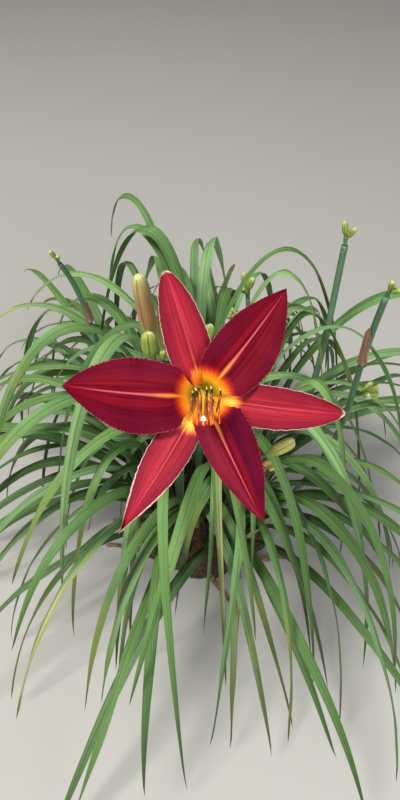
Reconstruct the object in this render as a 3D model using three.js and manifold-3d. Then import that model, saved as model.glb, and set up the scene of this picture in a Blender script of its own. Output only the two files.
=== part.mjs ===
// Daylily plant (Hemerocallis): one clump, lifted at soil level and standing on its rootstock.
// It has one open bloom with its buds, four other scapes, and fans of long folded leaves.
// Millimetres, +Z up. The origin is the centre of the rootstock's flat underside.
import * as THREE from 'three';
import { mergeVertices } from 'three/addons/utils/BufferGeometryUtils.js';
import Module from 'manifold-3d';

const wasm = await Module();
wasm.setup();

// ------------------------------------------------------------------ driving dimensions

const GAP = 0.3; // clearance between neighbouring pieces
const SEED = 5; // of every random draw

const CROWN = { radius: 108, height: 34, socketFloor: 12, sides: 13 };
const ROOTS = { count: 7, reach: 55, thickness: 6.5, sides: 5 };

const FANS = { count: 16, ring: 90, leaves: 12, tries: 300 };
const SHEATH = { long: 13, short: 8, height: 72, taper: 0.72, sides: 6, bladeFoot: 37 };
const LEAF = {
  rows: [0, 0.25, 0.43, 0.6, 0.79, 1], // along the blade, closest where it arches
  halfWidth: [5.5, 8.5], // narrowest and widest leaf
  foot: 0.15, // width where it leaves its fan, as a share of its full width
  keel: 0.8, // half the thickness at the midrib
  reach: [240, 400], // inner and outer leaves, in plan
  rise: [190, 450], // outer and inner leaves, height of the arch
  sway: 150, // most that a tip wanders to one side
  roll: 50, // most that a blade turns about its midrib, degrees
  spread: 120, // of the headings on each side of a fan, degrees
  limit: 470, // that no leaf grows beyond, in plan
  floor: 3, // the lowest that a leaf hangs
  nearRoot: 200, // below this height the blades of one fan may touch
};

// Leaves of settled shape: fan, heading, reach, rise, height of the tip, sway, half width, roll.
const SET_LEAVES = [
  { fan: 13, heading: -90, reach: 60, rise: 390, tip: 370, sway: 0, halfWidth: 11, roll: 0 },
  { fan: 16, heading: -131, reach: 139, rise: 282, tip: 60, sway: 11, halfWidth: 9.5, roll: -20 },
  { fan: 16, heading: -24, reach: 290, rise: 250, tip: 90, sway: 0, halfWidth: 8, roll: 0 },
  { fan: 16, heading: -52, reach: 280, rise: 290, tip: 60, sway: 20, halfWidth: 8.5, roll: 10 },
  { fan: 11, heading: -45, reach: 150, rise: 388, tip: 90, sway: 0, halfWidth: 8, roll: 15 },
  { fan: 11, heading: -8, reach: 340, rise: 330, tip: 140, sway: 20, halfWidth: 8, roll: 12 },
  { fan: 14, heading: 14, reach: 320, rise: 390, tip: 220, sway: -20, halfWidth: 7.5, roll: -12 },
  { fan: 1, heading: -6, reach: 145, rise: 470, tip: 250, sway: 0, halfWidth: 7, roll: 20 },
  { fan: 2, heading: -6, reach: 283, rise: 341, tip: 70, sway: 0, halfWidth: 7, roll: 0 },
  { fan: 6, heading: 152, reach: 380, rise: 305, tip: 193, sway: 1, halfWidth: 6, roll: -8 },
  { fan: 12, heading: 155, reach: 272, rise: 227, tip: 151, sway: -7, halfWidth: 6.5, roll: 0 },
  { fan: 3, heading: 168, reach: 228, rise: 360, tip: 262, sway: -5, halfWidth: 6, roll: 10 },
  { fan: 5, heading: -177, reach: 175, rise: 257, tip: 30, sway: -14, halfWidth: 7, roll: 8 },
  { fan: 13, heading: -147, reach: 129, rise: 286, tip: 210, sway: 2, halfWidth: 7, roll: -10 },
  { fan: 5, heading: -157, reach: 89, rise: 273, tip: 107, sway: -1, halfWidth: 6.5, roll: 0 },
  { fan: 10, heading: -146, reach: 296, rise: 345, tip: 92, sway: 0, halfWidth: 7, roll: 12 },
  { fan: 13, heading: 190, reach: 290, rise: 345, tip: 190, sway: 0, halfWidth: 7, roll: 8 },
  { fan: 2, heading: 176, reach: 315, rise: 408, tip: 200, sway: -20, halfWidth: 7, roll: -12 },
  { fan: 1, heading: 164, reach: 236, rise: 418, tip: 364, sway: 1, halfWidth: 6, roll: 0 },
  { fan: 15, heading: 129, reach: 400, rise: 274, tip: 218, sway: -36, halfWidth: 6.5, roll: 5 },
  { fan: 14, heading: 110, reach: 208, rise: 215, tip: 351, sway: -7, halfWidth: 6, roll: 0 },
  { fan: 9, heading: 104, reach: 260, rise: 350, tip: 60, sway: 0, halfWidth: 6.5, roll: -10 },
  { fan: 10, heading: 5, reach: 286, rise: 293, tip: 317, sway: 0, halfWidth: 6, roll: 0 },
];

const BLOOM = {
  centre: [0, -285, 600], // of the plane of the petal tips
  tilt: 42, // from facing straight up, degrees
  rim: -36, // mouth of the perianth tube, behind that plane
  rimRadius: 5.5,
  tube: 32, // its length
  hollow: 4,
  thickness: 0.9, // of a petal
  lean: [-15, 13], // how far the tube's foot stands to the left and up
};

// Each petal and sepal: its heading round the throat, how far its tip reaches, half its width on
// its left and right as seen from the throat, how sharply it widens from its base and narrows to
// its tip, how its two sides fold back, how its midrib sways, and how it turns about its midrib.
const PETALS = [
  {
    name: 'petal_upper_right', heading: 48.6, reach: 75, halfWidth: [16.9, 20.5],
    base: 0.81, tip: 0.97, fold: 0.19, sway: 4.8, roll: 3.7,
  },
  {
    name: 'petal_lower_right', heading: -67.8, reach: 76.4, halfWidth: [18.3, 12.8],
    base: 0.52, tip: 0.88, fold: 0.28, sway: 4.1, roll: -6,
  },
  {
    name: 'petal_left', heading: 181.4, reach: 78.3, halfWidth: [23.1, 20.8],
    base: 0.97, tip: 0.97, fold: 0.15, sway: -8, roll: 3.8,
  },
];
const SEPALS = [
  {
    name: 'sepal_top', heading: 105.5, reach: 76.5, halfWidth: [13.4, 12.5],
    base: 0.45, tip: 0.63, fold: 0.01, sway: 2.1, roll: -5.3,
  },
  {
    name: 'sepal_right', heading: -11.4, reach: 82.3, halfWidth: [11.9, 13],
    base: 0.68, tip: 0.74, fold: 0.03, sway: 6, roll: 3.3,
  },
  {
    name: 'sepal_lower_left', heading: -119, reach: 91, halfWidth: [10.7, 12.8],
    base: 1.03, tip: 1.26, fold: 0.09, sway: -4.5, roll: 9.2,
  },
];
const PETAL_FORM = {
  rows: 14, columns: 8, claw: 2.3, layer: [0.9, 2.9], recurve: 12, ruffle: 1.9, waves: 3.3,
};
const SEPAL_FORM = {
  rows: 10, columns: 6, claw: 2.4, layer: [-0.9, -6.5], recurve: 20, ruffle: 0.5, waves: 1.4,
};

// Anthers in the bloom's own frame: upper end, lower end, how far in front they hang, and where
// round the tube their filament starts, in degrees.
const STAMENS = [
  { top: [-5.4, 2.8], bottom: [-7.2, -8.6], front: 4, start: 210 },
  { top: [-4.1, 4.6], bottom: [-2.9, -12.6], front: 9, start: 150 },
  { top: [2.1, 5.2], bottom: [0.6, -11.4], front: 6, start: 270 },
  { top: [4.1, 5.4], bottom: [2.3, -10.2], front: 12.2, start: 90 },
  { top: [5.3, -0.6], bottom: [3.4, -12.6], front: 7, start: 330 },
  { top: [9.2, 4.4], bottom: [6.4, -9.2], front: 3, start: 30 },
];
const STIGMA = [-0.4, -11.9, 16];

// The scape of the bloom. Its top, in the bloom's frame, is the node where the buds branch off.
const SCAPE = {
  foot: [-6, -34, 12.3], low: [-2, -36, 230], high: [0, -120, 430], top: [-24, 20, -92],
  footRadius: 4.6, topRadius: 3,
};
// The side branch low on it: its end and its withered flower, in the bloom's frame.
const BRANCH = {
  at: 0.84, low: [-4, -167, 470], high: [34, -251, 490], end: [40, -41.5, -64], witheredTip: [44, -47, -56],
};
// Buds on that scape, in the bloom's frame.
const BUDS = [
  { name: 'bud_large', base: [-34, 33, -94], tip: [-41, 77.5, -51], radius: 6 },
  { name: 'bud_tall', base: [-25.5, 27, -108], tip: [-29, 58, -84], radius: 5 },
  { name: 'bud_small_front', base: [-34.5, 24, -78.5], tip: [-36.5, 43, -68.5], radius: 5.6 },
  { name: 'bud_tiny', base: [-28, 24.5, -79], tip: [-26.6, 30.5, -73.5], radius: 2.4 },
  { name: 'bud_small_top', base: [1, 37, -99], tip: [5.5, 51, -92], radius: 3.6 },
  { name: 'bud_lower_right', base: [40.8, -37.5, -61], tip: [57.3, -27.5, -50], radius: 4.1, on: 'branch' },
];
const OTHER_SCAPES = [
  {
    name: 'scape_left', radii: [4, 2.4],
    points: [[-52, -36, 12.3], [-112, -65, 152], [-100, 2, 406], [-134, -33, 508]],
  },
  {
    name: 'scape_right', radii: [4.2, 2.8],
    points: [[62, -52, 12.3], [219, -6, 232], [146, -78, 329], [144, -130, 546]],
    twig: { name: 'buds_right', at: 0.7, toward: [0.8, -0.1, 0.5], length: 4.5, buds: 4, size: 12 },
  },
  {
    name: 'scape_upper_right', radii: [4.6, 3.6],
    points: [[72, 12, 12.3], [162, 38, 212], [145, 24, 337], [151, 41, 479]],
  },
  {
    name: 'scape_back', radii: [4, 2.6],
    points: [[26, 33, 12.3], [30, 36, 150], [67, 46, 302], [54, 57, 396]],
    twig: { name: 'buds_back_low', at: 0.9, toward: [-0.8, -0.3, 0.5], length: 6, buds: 3, size: 12 },
  },
];
const BUNCHES = [
  { name: 'buds_back_top', foot: [54, 57.1, 396.4], toward: [-0.05, 0.2, 0.97], buds: 4, size: 15 },
  { name: 'buds_left_top', foot: [-134.1, -33.1, 508.4], toward: [-0.2, -0.2, 0.96], buds: 2, size: 8 },
  { name: 'buds_right_top', foot: [144, -130.1, 546.4], toward: [0.1, -0.3, 0.95], buds: 2, size: 9 },
  { name: 'buds_upper_right_top', foot: [151, 41, 479.4], toward: [0, 0.2, 0.98], buds: 2, size: 12 },
];
// Where each bract starts and ends along its scape, its radius there, and the side it lies on.
const BRACTS = [
  { name: 'bract_left', on: 'scape_left', from: 0.8, to: 0.86, radius: 3.7, facing: -30 },
  { name: 'bract_right', on: 'scape_right', from: 0.84, to: 0.94, radius: 4, facing: -150 },
];

// ------------------------------------------------------------------ materials

const paint = (color, roughness) => new THREE.MeshStandardMaterial({ color, roughness, metalness: 0 });

const FINISH = {
  petal: paint(0x7d1526, 0.55),
  sepal: paint(0xb0283a, 0.55),
  tube: paint(0x8f9a3a, 0.6),
  filament: paint(0xf2a02c, 0.5),
  anther: paint(0x6b1a10, 0.7),
  pistil: paint(0xf4ad5a, 0.5),
  bud: paint(0x9aa04c, 0.6),
  budTan: paint(0xa8703f, 0.6),
  scape: paint(0x5a7f52, 0.6),
  bract: paint(0x9a7458, 0.9),
  leaf: paint(0x5c8a4a, 0.6),
  crown: paint(0x6a4c33, 0.95),
};

// ------------------------------------------------------------------ small tools

const radians = THREE.MathUtils.degToRad;
const mix = THREE.MathUtils.lerp;
const clamp = THREE.MathUtils.clamp;
const smooth = (x) => THREE.MathUtils.smoothstep(x, 0, 1);
const vector = (x, y, z) => new THREE.Vector3(x, y, z);

// A stream of even random numbers from 0 to 1 (the mulberry32 rule).
function randomStream(seed) {
  let state = seed >>> 0;
  return () => {
    state = (state + 0x6d2b79f5) >>> 0;
    let t = Math.imul(state ^ (state >>> 15), state | 1);
    t ^= t + Math.imul(t ^ (t >>> 7), t | 61);
    return ((t ^ (t >>> 14)) >>> 0) / 4294967296;
  };
}

// A closed skin through rings of points. A ring of one point is a pole, and any other end ring is
// closed by a strip from its first half to its second. The second half of each ring is split
// along the opposite diagonal, so that the two faces of a thin blade have matching triangles.
function loft(rings) {
  const points = rings.flat();
  const faces = [];
  let start = 0;
  for (let i = 0; i + 1 < rings.length; i += 1) {
    const [near, far] = [rings[i].length, rings[i + 1].length];
    const next = start + near;
    const count = Math.max(near, far);
    for (let j = 0; j < count; j += 1) {
      const k = (j + 1) % count;
      if (far === 1) faces.push(start + j, start + k, next);
      else if (near === 1) faces.push(start, next + k, next + j);
      else if (j < count / 2) faces.push(start + j, start + k, next + k, start + j, next + k, next + j);
      else faces.push(start + j, start + k, next + j, start + k, next + k, next + j);
    }
    start = next;
  }
  const close = (ring, first, turned) => {
    for (let j = 0; j + 1 < ring.length / 2; j += 1) {
      const [a, b] = [first + j, first + j + 1];
      const [c, d] = [first + ring.length - 2 - j, first + ring.length - 1 - j];
      if (turned) faces.push(b, a, d, c, b, d);
      else faces.push(a, b, d, b, c, d);
    }
  };
  if (rings[0].length > 1) close(rings[0], 0, true);
  if (rings.at(-1).length > 1) close(rings.at(-1), start, false);
  const geometry = new THREE.BufferGeometry().setFromPoints(points);
  geometry.setIndex(faces);
  if (volume(geometry) < 0) geometry.setIndex(faces.reverse());
  return geometry;
}

// Six times the volume that a skin encloses: positive where its faces point out.
function volume(geometry) {
  const place = geometry.getAttribute('position');
  const index = geometry.index.array;
  const corner = (i) => new THREE.Vector3().fromBufferAttribute(place, index[i]);
  let sum = 0;
  for (let i = 0; i < index.length; i += 3) {
    sum += corner(i).dot(corner(i + 1).cross(corner(i + 2)));
  }
  return sum;
}

function toSolid(geometry) {
  const bare = geometry.clone();
  bare.deleteAttribute('normal');
  bare.deleteAttribute('uv');
  const merged = mergeVertices(bare, 1e-4);
  return new wasm.Manifold(new wasm.Mesh({
    numProp: 3,
    vertProperties: new Float32Array(merged.getAttribute('position').array),
    triVerts: new Uint32Array(merged.index.array),
  }));
}

function toGeometry(solid) {
  const mesh = solid.getMesh();
  const geometry = new THREE.BufferGeometry();
  geometry.setAttribute('position', new THREE.BufferAttribute(mesh.vertProperties, 3));
  geometry.setIndex(new THREE.BufferAttribute(mesh.triVerts, 1));
  return geometry;
}

const fuse = (geometries) => geometries.map(toSolid).reduce((whole, piece) => whole.add(piece));

// A round rod along a curve. radius(t) is its radius, flute(angle) an optional factor on it, and
// pace(t) where its rings stand.
function rod(curve, steps, sides, radius, flute = () => 1, pace = (t) => t) {
  const frames = curve.computeFrenetFrames(steps, false);
  const rings = [];
  for (let i = 0; i <= steps; i += 1) {
    const t = pace(i / steps);
    const centre = curve.getPointAt(t);
    const size = radius(t);
    if (size < 0.05) {
      rings.push([centre]);
      continue;
    }
    const ring = [];
    for (let j = 0; j < sides; j += 1) {
      const angle = (2 * Math.PI * j) / sides;
      const r = size * flute(angle);
      ring.push(centre.clone()
        .addScaledVector(frames.normals[i], r * Math.cos(angle))
        .addScaledVector(frames.binormals[i], r * Math.sin(angle)));
    }
    rings.push(ring);
  }
  return loft(rings);
}

const bezier = (...points) => new THREE.CubicBezierCurve3(...points.map((p) => vector(...p)));

// ------------------------------------------------------------------ assembly

const plant = new THREE.Group();

function add(name, geometry, material, parent = plant) {
  const mesh = new THREE.Mesh(geometry, material);
  mesh.name = name;
  parent.add(mesh);
  return mesh;
}

// The bloom's own frame: x to the right, y up across its face, z out of the throat.
const bloom = new THREE.Group();
bloom.position.set(...BLOOM.centre);
bloom.rotation.x = radians(BLOOM.tilt);
plant.add(bloom);
bloom.updateMatrixWorld(true);
const inPlant = (x, y, z) => bloom.localToWorld(vector(x, y, z)).toArray();

// ------------------------------------------------------------------ space that is taken

// A grid of cells that remembers which piece, by number, stands in or next to each.
const SPACE = { cell: 2.5, low: [-510, -510, -9], count: [408, 408, 276] };
const FIXED = 250;
const SHARED = 255;
const taken = new Uint8Array(SPACE.count[0] * SPACE.count[1] * SPACE.count[2]);

function cellOf(p) {
  const i = Math.floor((p.x - SPACE.low[0]) / SPACE.cell);
  const j = Math.floor((p.y - SPACE.low[1]) / SPACE.cell);
  const k = Math.floor((p.z - SPACE.low[2]) / SPACE.cell);
  return (k * SPACE.count[1] + j) * SPACE.count[0] + i;
}

function take(p, owner) {
  const middle = cellOf(p);
  const row = SPACE.count[0];
  const floor = row * SPACE.count[1];
  for (let k = -floor; k <= floor; k += floor) {
    for (let j = -row; j <= row; j += row) {
      for (let i = -1; i <= 1; i += 1) {
        const cell = middle + i + j + k;
        taken[cell] = taken[cell] === 0 || taken[cell] === owner ? owner : SHARED;
      }
    }
  }
}

// Takes the space round a curve: enough points across its width, and along it.
function takeCurve(curve, radius) {
  const steps = Math.ceil(curve.getLength() / 4);
  for (let i = 0; i <= steps; i += 1) {
    const centre = curve.getPoint(i / steps);
    take(centre, FIXED);
    for (let j = 0; j < 6; j += 1) {
      const angle = (Math.PI * j) / 3;
      take(centre.clone().add(vector(radius * Math.cos(angle), radius * Math.sin(angle), 0)), FIXED);
    }
  }
}

// ------------------------------------------------------------------ bloom: petals and sepals

// The slope of a petal from the throat's axis, in radians: steep in the throat, flat outside it.
function flare(form, v) {
  const out = mix(14, 80, smooth(v / 0.42));
  return radians(out + form.recurve * Math.max(0, (v - 0.45) / 0.55) ** 1.5);
}

// The midrib of one petal as points [out, forward] at even steps along it.
function midrib(form, reach, steps) {
  const points = [[0, 0]];
  for (let i = 0; i < steps; i += 1) {
    const slope = flare(form, (i + 0.5) / steps);
    points.push([points[i][0] + Math.sin(slope), points[i][1] + Math.cos(slope)]);
  }
  const scale = (reach - BLOOM.rimRadius) / points[steps][0];
  const start = BLOOM.rim + 3 * GAP;
  return points.map(([out, forward]) => [BLOOM.rimRadius + out * scale, start + forward * scale]);
}

// Half the width along a petal: v^base (1 - v)^tip, scaled to its widest, plus the narrow claw.
function halfWidth(form, petal, v, u) {
  const peak = petal.base / (petal.base + petal.tip);
  const leafy = (v / peak) ** petal.base * ((1 - v) / (1 - peak)) ** petal.tip;
  const widest = petal.halfWidth[u > 0 ? 0 : 1];
  return form.claw * (1 - v) ** 2 + widest * leafy * (1 - 0.12 * (1 - v) ** 2);
}

// A point on the middle surface of a petal, moved by lift along the surface's normal.
function petalPoint(form, petal, rib, row, u, lift) {
  const v = row / (rib.length - 1);
  const slope = flare(form, v);
  const spread = smooth((v - 0.2) / 0.3);
  const layer = mix(form.layer[0], form.layer[1], smooth(v / 0.4));
  const bare = rib[row][0] - layer * Math.cos(slope);
  const room = bare * mix(1.4, 0.9, clamp((34 - bare) / 22, 0, 1));
  const across = u * Math.min(halfWidth(form, petal, v, u), room);
  const wave = form.ruffle * Math.abs(u) ** 2.5 * smooth((v - 0.18) / 0.3)
    * Math.sin(2 * Math.PI * form.waves * v + (u < 0 ? 2 : 0));
  const turn = Math.sin(radians(petal.roll)) * across * spread;
  const height = layer + wave + turn + lift - petal.fold * Math.abs(across) * spread;
  const out = rib[row][0] - height * Math.cos(slope);
  const forward = rib[row][1] + height * Math.sin(slope);
  const round = clamp((34 - out) / 22, 0, 1);
  const angle = across / Math.max(out, 3);
  const x = mix(out, out * Math.cos(angle), round);
  const y = mix(across, out * Math.sin(angle), round) + petal.sway * v * v;
  const heading = radians(petal.heading);
  return bend(vector(
    x * Math.cos(heading) - y * Math.sin(heading),
    x * Math.sin(heading) + y * Math.cos(heading),
    forward,
  ));
}

// The throat and the tube lean to one side behind the face of the bloom.
function bend(p) {
  const t = clamp((-20 - p.z) / 48, 0, 1.3);
  p.x += BLOOM.lean[0] * t * t;
  p.y += BLOOM.lean[1] * t * t;
  return p;
}

function petalGeometry(form, petal) {
  const rib = midrib(form, petal.reach, form.rows);
  const rings = [];
  for (let row = 0; row < form.rows; row += 1) {
    const ring = [];
    for (let side = 1; side >= -1; side -= 2) {
      for (let i = 0; i <= form.columns; i += 1) {
        const u = side * (-1 + (2 * i) / form.columns);
        ring.push(petalPoint(form, petal, rib, row, u, (side * BLOOM.thickness) / 2));
      }
    }
    rings.push(ring);
  }
  rings.push([petalPoint(form, petal, rib, form.rows, 0, 0)]);
  return loft(rings);
}

PETALS.forEach((petal) => add(petal.name, petalGeometry(PETAL_FORM, petal), FINISH.petal, bloom));
SEPALS.forEach((sepal) => add(sepal.name, petalGeometry(SEPAL_FORM, sepal), FINISH.sepal, bloom));

// ------------------------------------------------------------------ bloom: tube, stamens, pistil

// The perianth tube: a slim cup, wide at its mouth, round the foot of the stamens and the pistil.
function tubeGeometry() {
  const foot = BLOOM.rim - BLOOM.tube;
  const outline = [
    [0, foot], [2.6, foot], [3.6, foot + 5], [4.6, foot + 18], [7.4, BLOOM.rim],
    [BLOOM.hollow, BLOOM.rim], [BLOOM.hollow - 0.4, foot + 16], [3, foot + 8], [0, foot + 8],
  ];
  const rings = outline.map(([radius, z]) => {
    if (radius === 0) return [bend(vector(0, 0, z))];
    const ring = [];
    for (let j = 0; j < 12; j += 1) {
      const angle = (Math.PI * j) / 6;
      ring.push(bend(vector(radius * Math.cos(angle), radius * Math.sin(angle), z)));
    }
    return ring;
  });
  return loft(rings);
}

add('perianth_tube', tubeGeometry(), FINISH.tube, bloom);

// A thread that starts in the tube, comes out of the throat, sinks and turns up to its end.
class Thread extends THREE.Curve {
  constructor(start, end) {
    super();
    const [x, y, z] = end;
    const points = [start, [start[0], start[1], -32], [x, -13, -11 + z * 0.3], [x, -16, z - 3], end];
    this.spline = new THREE.CatmullRomCurve3(points.map((p) => vector(...p)), false, 'centripetal');
  }

  getPoint(t, target = new THREE.Vector3()) {
    return target.copy(bend(this.spline.getPoint(t)));
  }
}

const TUBE_FLOOR = BLOOM.rim - BLOOM.tube + 8 + GAP;

STAMENS.forEach(({ top, bottom, front, start: around }, i) => {
  const angle = radians(around);
  const start = [2 * Math.cos(angle), 2 * Math.sin(angle), TUBE_FLOOR];
  const hold = [mix(top[0], bottom[0], 0.3), mix(top[1], bottom[1], 0.3), front];
  const end = [hold[0], hold[1], front - 1.5];
  const thread = new Thread(start, end);
  add(`filament_${i + 1}`, rod(thread, 8, 3, (t) => mix(0.75, 0.4, t)), FINISH.filament, bloom);
  // The anther: two lobes side by side, hung near its upper end, in front of the thread's end.
  const axis = new THREE.LineCurve3(vector(top[0], top[1], front), vector(bottom[0], bottom[1], front));
  const lobed = (angleRound) => 1 + 0.3 * Math.cos(2 * angleRound);
  const body = (t) => 0.95 * Math.sin(Math.PI * clamp(t, 0, 1)) ** 0.4;
  add(`anther_${i + 1}`, rod(axis, 5, 6, body, lobed), FINISH.anther, bloom);
});

function pistilGeometry() {
  const thread = new Thread([0, 0, TUBE_FLOOR], STIGMA);
  const stigma = new THREE.SphereGeometry(1.5, 7, 5).translate(...STIGMA);
  return toGeometry(fuse([rod(thread, 12, 5, () => 0.7), stigma]));
}

add('pistil', pistilGeometry(), FINISH.pistil, bloom);

// ------------------------------------------------------------------ bloom's scape

// The face of a stalk's end, just short of the piece that it carries.
function shortOf(base, tip) {
  const [a, b] = [vector(...base), vector(...tip)];
  return a.clone().addScaledVector(b.sub(a).normalize(), -GAP).toArray();
}

// A stalk that leaves its carrier along one direction and meets its bud along the bud's axis.
function stalk(from, lead, base, tip, radius) {
  const end = shortOf(base, tip);
  const axis = vector(...tip).sub(vector(...base)).normalize();
  const length = vector(...end).distanceTo(vector(...from));
  const before = vector(...end).addScaledVector(axis, -0.4 * length).toArray();
  return rod(bezier(from, lead, before, end), 3, 5, () => radius);
}

// A bud: a club with three soft ridges, slim at its foot and blunt at its tip.
function budGeometry(base, tip, radius, steps = 8, sides = 12) {
  const axis = new THREE.LineCurve3(vector(...base), vector(...tip));
  const blunt = (t) => Math.sqrt(1 - clamp((t - 0.5) / 0.5, 0, 1) ** 4.5);
  const swell = (t) => radius * mix(0.4, 1, smooth(t / 0.45)) * blunt(t);
  const ridged = (angle) => 1 + 0.07 * Math.cos(3 * angle);
  const closer = (t) => 1 - (1 - t) ** 1.5;
  return rod(axis, steps, sides, swell, ridged, closer);
}

const NODE = inPlant(...SCAPE.top);
const mainScape = bezier(SCAPE.foot, SCAPE.low, SCAPE.high, NODE);
const tubeFoot = bend(vector(0, 0, BLOOM.rim - BLOOM.tube - GAP));
const pedicelEnd = inPlant(tubeFoot.x, tubeFoot.y, tubeFoot.z);
const pedicelBefore = inPlant(tubeFoot.x, tubeFoot.y, tubeFoot.z - 9);
const branchEnd = inPlant(...BRANCH.end);
const branch = bezier(mainScape.getPoint(BRANCH.at).toArray(), BRANCH.low, BRANCH.high, branchEnd);

const mainScapeParts = [
  rod(mainScape, 10, 7, (t) => mix(SCAPE.footRadius, SCAPE.topRadius, t)),
  rod(branch, 6, 5, (t) => mix(2.6, 1.9, t)),
  new THREE.SphereGeometry(3.9, 7, 5).translate(...NODE),
  rod(bezier(NODE, inPlant(-20, 17, -84), pedicelBefore, pedicelEnd), 4, 6, () => 2.2),
];
BUDS.forEach(({ name, base, tip, radius, on }) => {
  const [b, t] = [inPlant(...base), inPlant(...tip)];
  const from = on === 'branch' ? branch.getPoint(0.93) : vector(...NODE);
  const lead = from.clone().lerp(vector(...b), 0.4);
  mainScapeParts.push(stalk(from.toArray(), lead.toArray(), b, t, radius * 0.28));
  const large = radius > 5;
  const material = name === 'bud_large' ? FINISH.budTan : FINISH.bud;
  add(name, budGeometry(b, t, radius, large ? 8 : 5, large ? 12 : 9), material);
});
add('scape_of_bloom', toGeometry(fuse(mainScapeParts)), FINISH.scape);

// The withered foot of an older flower, on the end of the side branch.
const witheredTip = inPlant(...BRANCH.witheredTip);
const witheredFoot = vector(...branchEnd).lerp(vector(...witheredTip), 0.18).toArray();
add('withered_flower_foot', rod(
  new THREE.LineCurve3(vector(...witheredFoot), vector(...witheredTip)), 5, 7,
  (t) => 2.1 * (1 - 0.5 * t) * (1 + 0.25 * Math.sin(9 * t)),
  (angle) => 1 + 0.2 * Math.cos(2 * angle),
), FINISH.bract);

// ------------------------------------------------------------------ other scapes

// A dry, papery bract that clasps a scape: a pointed half sleeve, open on one side. Its tip
// stands off the scape.
function bractGeometry(curve, { from, to, radius, facing }) {
  const up = curve.getPoint(to).sub(curve.getPoint(from)).normalize();
  const front = vector(Math.cos(radians(facing)), Math.sin(radians(facing)), 0);
  front.addScaledVector(up, -front.dot(up)).normalize();
  const side = up.clone().cross(front);
  const rings = [];
  for (let i = 0; i < 6; i += 1) {
    const t = i / 6;
    const centre = curve.getPoint(mix(from, to, t));
    const ring = [];
    for (let face = 1; face >= -1; face -= 2) {
      for (let j = 0; j <= 5; j += 1) {
        const angle = face * (-1 + j / 2.5) * radians(mix(105, 28, t));
        const ripple = 0.4 * Math.sin(5 * t + 2 * angle) * t;
        const r = radius * (1 + 0.15 * t) + (face > 0 ? 0.8 : 0) + ripple;
        ring.push(centre.clone()
          .addScaledVector(front, r * Math.cos(angle)).addScaledVector(side, r * Math.sin(angle)));
      }
    }
    rings.push(ring);
  }
  rings.push([curve.getPoint(to).addScaledVector(front, radius * 1.3)]);
  return loft(rings);
}

// A bunch of young buds round the end of a stalk, each in the golden angle from the last.
function bunchGeometry({ foot, toward, buds, size }) {
  const axis = vector(...toward).normalize();
  const aside = axis.clone().cross(vector(0, 1, 0.3)).normalize();
  const parts = [rod(new THREE.LineCurve3(
    vector(...foot), vector(...foot).addScaledVector(axis, size * 0.8),
  ), 2, 6, (t) => size * mix(0.16, 0.22, t))];
  for (let i = 0; i < buds; i += 1) {
    const lean = radians(12 + (46 * i) / buds);
    const out = aside.clone().applyAxisAngle(axis, radians(137.5 * i));
    const way = axis.clone().multiplyScalar(Math.cos(lean)).addScaledVector(out, Math.sin(lean));
    const start = vector(...foot).addScaledVector(axis, size * (0.7 - 0.08 * i));
    const end = start.clone().addScaledVector(way, size * (1.5 - 0.11 * i));
    parts.push(budGeometry(start.toArray(), end.toArray(), size * 0.27, 4, 5));
  }
  return toGeometry(fuse(parts));
}

const scapeCurves = [mainScape, branch];
const bunches = [...BUNCHES];
const curveOf = {};
OTHER_SCAPES.forEach(({ name, points, radii, twig }) => {
  const curve = bezier(...points);
  curveOf[name] = curve;
  scapeCurves.push(curve);
  const parts = [rod(curve, 12, 7, (t) => mix(radii[0], radii[1], t))];
  if (twig) {
    const from = curve.getPoint(twig.at);
    const way = vector(...twig.toward).normalize();
    const end = from.clone().addScaledVector(way, twig.length);
    parts.push(rod(new THREE.LineCurve3(from, end), 2, 6, () => 1.6));
    bunches.push({ ...twig, foot: end.clone().addScaledVector(way, GAP).toArray() });
  }
  add(name, toGeometry(fuse(parts)), FINISH.scape);
});
bunches.forEach((bunch) => add(bunch.name, bunchGeometry(bunch), FINISH.bud));
BRACTS.forEach((bract) => {
  add(bract.name, bractGeometry(curveOf[bract.on], bract), FINISH.bract);
});

// ------------------------------------------------------------------ rootstock

const rootCurves = [];
for (let i = 0; i < ROOTS.count; i += 1) {
  const draw = randomStream(SEED * 1000 + i);
  const heading = (2 * Math.PI * (i + 0.6 * draw())) / ROOTS.count;
  const reach = CROWN.radius + ROOTS.reach * mix(0.55, 1, draw());
  const turn = heading + mix(-0.35, 0.35, draw());
  const out = (r, angle, z) => [r * Math.cos(angle), r * Math.sin(angle), z];
  rootCurves.push(bezier(
    out(CROWN.radius * 0.8, heading, 14), out(CROWN.radius * 1.15, heading, 13),
    out(reach * 0.85, turn, 6), out(reach, turn, 5),
  ));
}

const fans = [];
for (let i = 0; i < FANS.count; i += 1) {
  const draw = randomStream(SEED * 100 + i);
  const around = radians(137.5 * i + 40);
  const distance = FANS.ring * Math.sqrt((i + 0.4) / FANS.count);
  fans.push({
    x: distance * Math.cos(around),
    y: distance * Math.sin(around),
    around,
    outward: distance / FANS.ring,
    plane: around + Math.PI / 2 + radians(mix(-50, 50, draw())),
  });
}

// The sheath in which a fan's leaves start: a flattened prism, grown by a margin for its socket.
function sheathGeometry(fan, margin) {
  const rings = [0, 1].map((t) => {
    const size = mix(1, SHEATH.taper, t);
    const ring = [];
    for (let j = 0; j < SHEATH.sides; j += 1) {
      const angle = (2 * Math.PI * (j + 0.5)) / SHEATH.sides;
      const a = (SHEATH.long * size + margin) * Math.cos(angle);
      const b = (SHEATH.short * size + margin) * Math.sin(angle);
      ring.push(vector(
        fan.x + a * Math.cos(fan.plane) - b * Math.sin(fan.plane),
        fan.y + a * Math.sin(fan.plane) + b * Math.cos(fan.plane),
        CROWN.socketFloor + (margin > 0 ? 0 : GAP) + t * SHEATH.height,
      ));
    }
    return ring;
  });
  return loft(rings);
}

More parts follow.
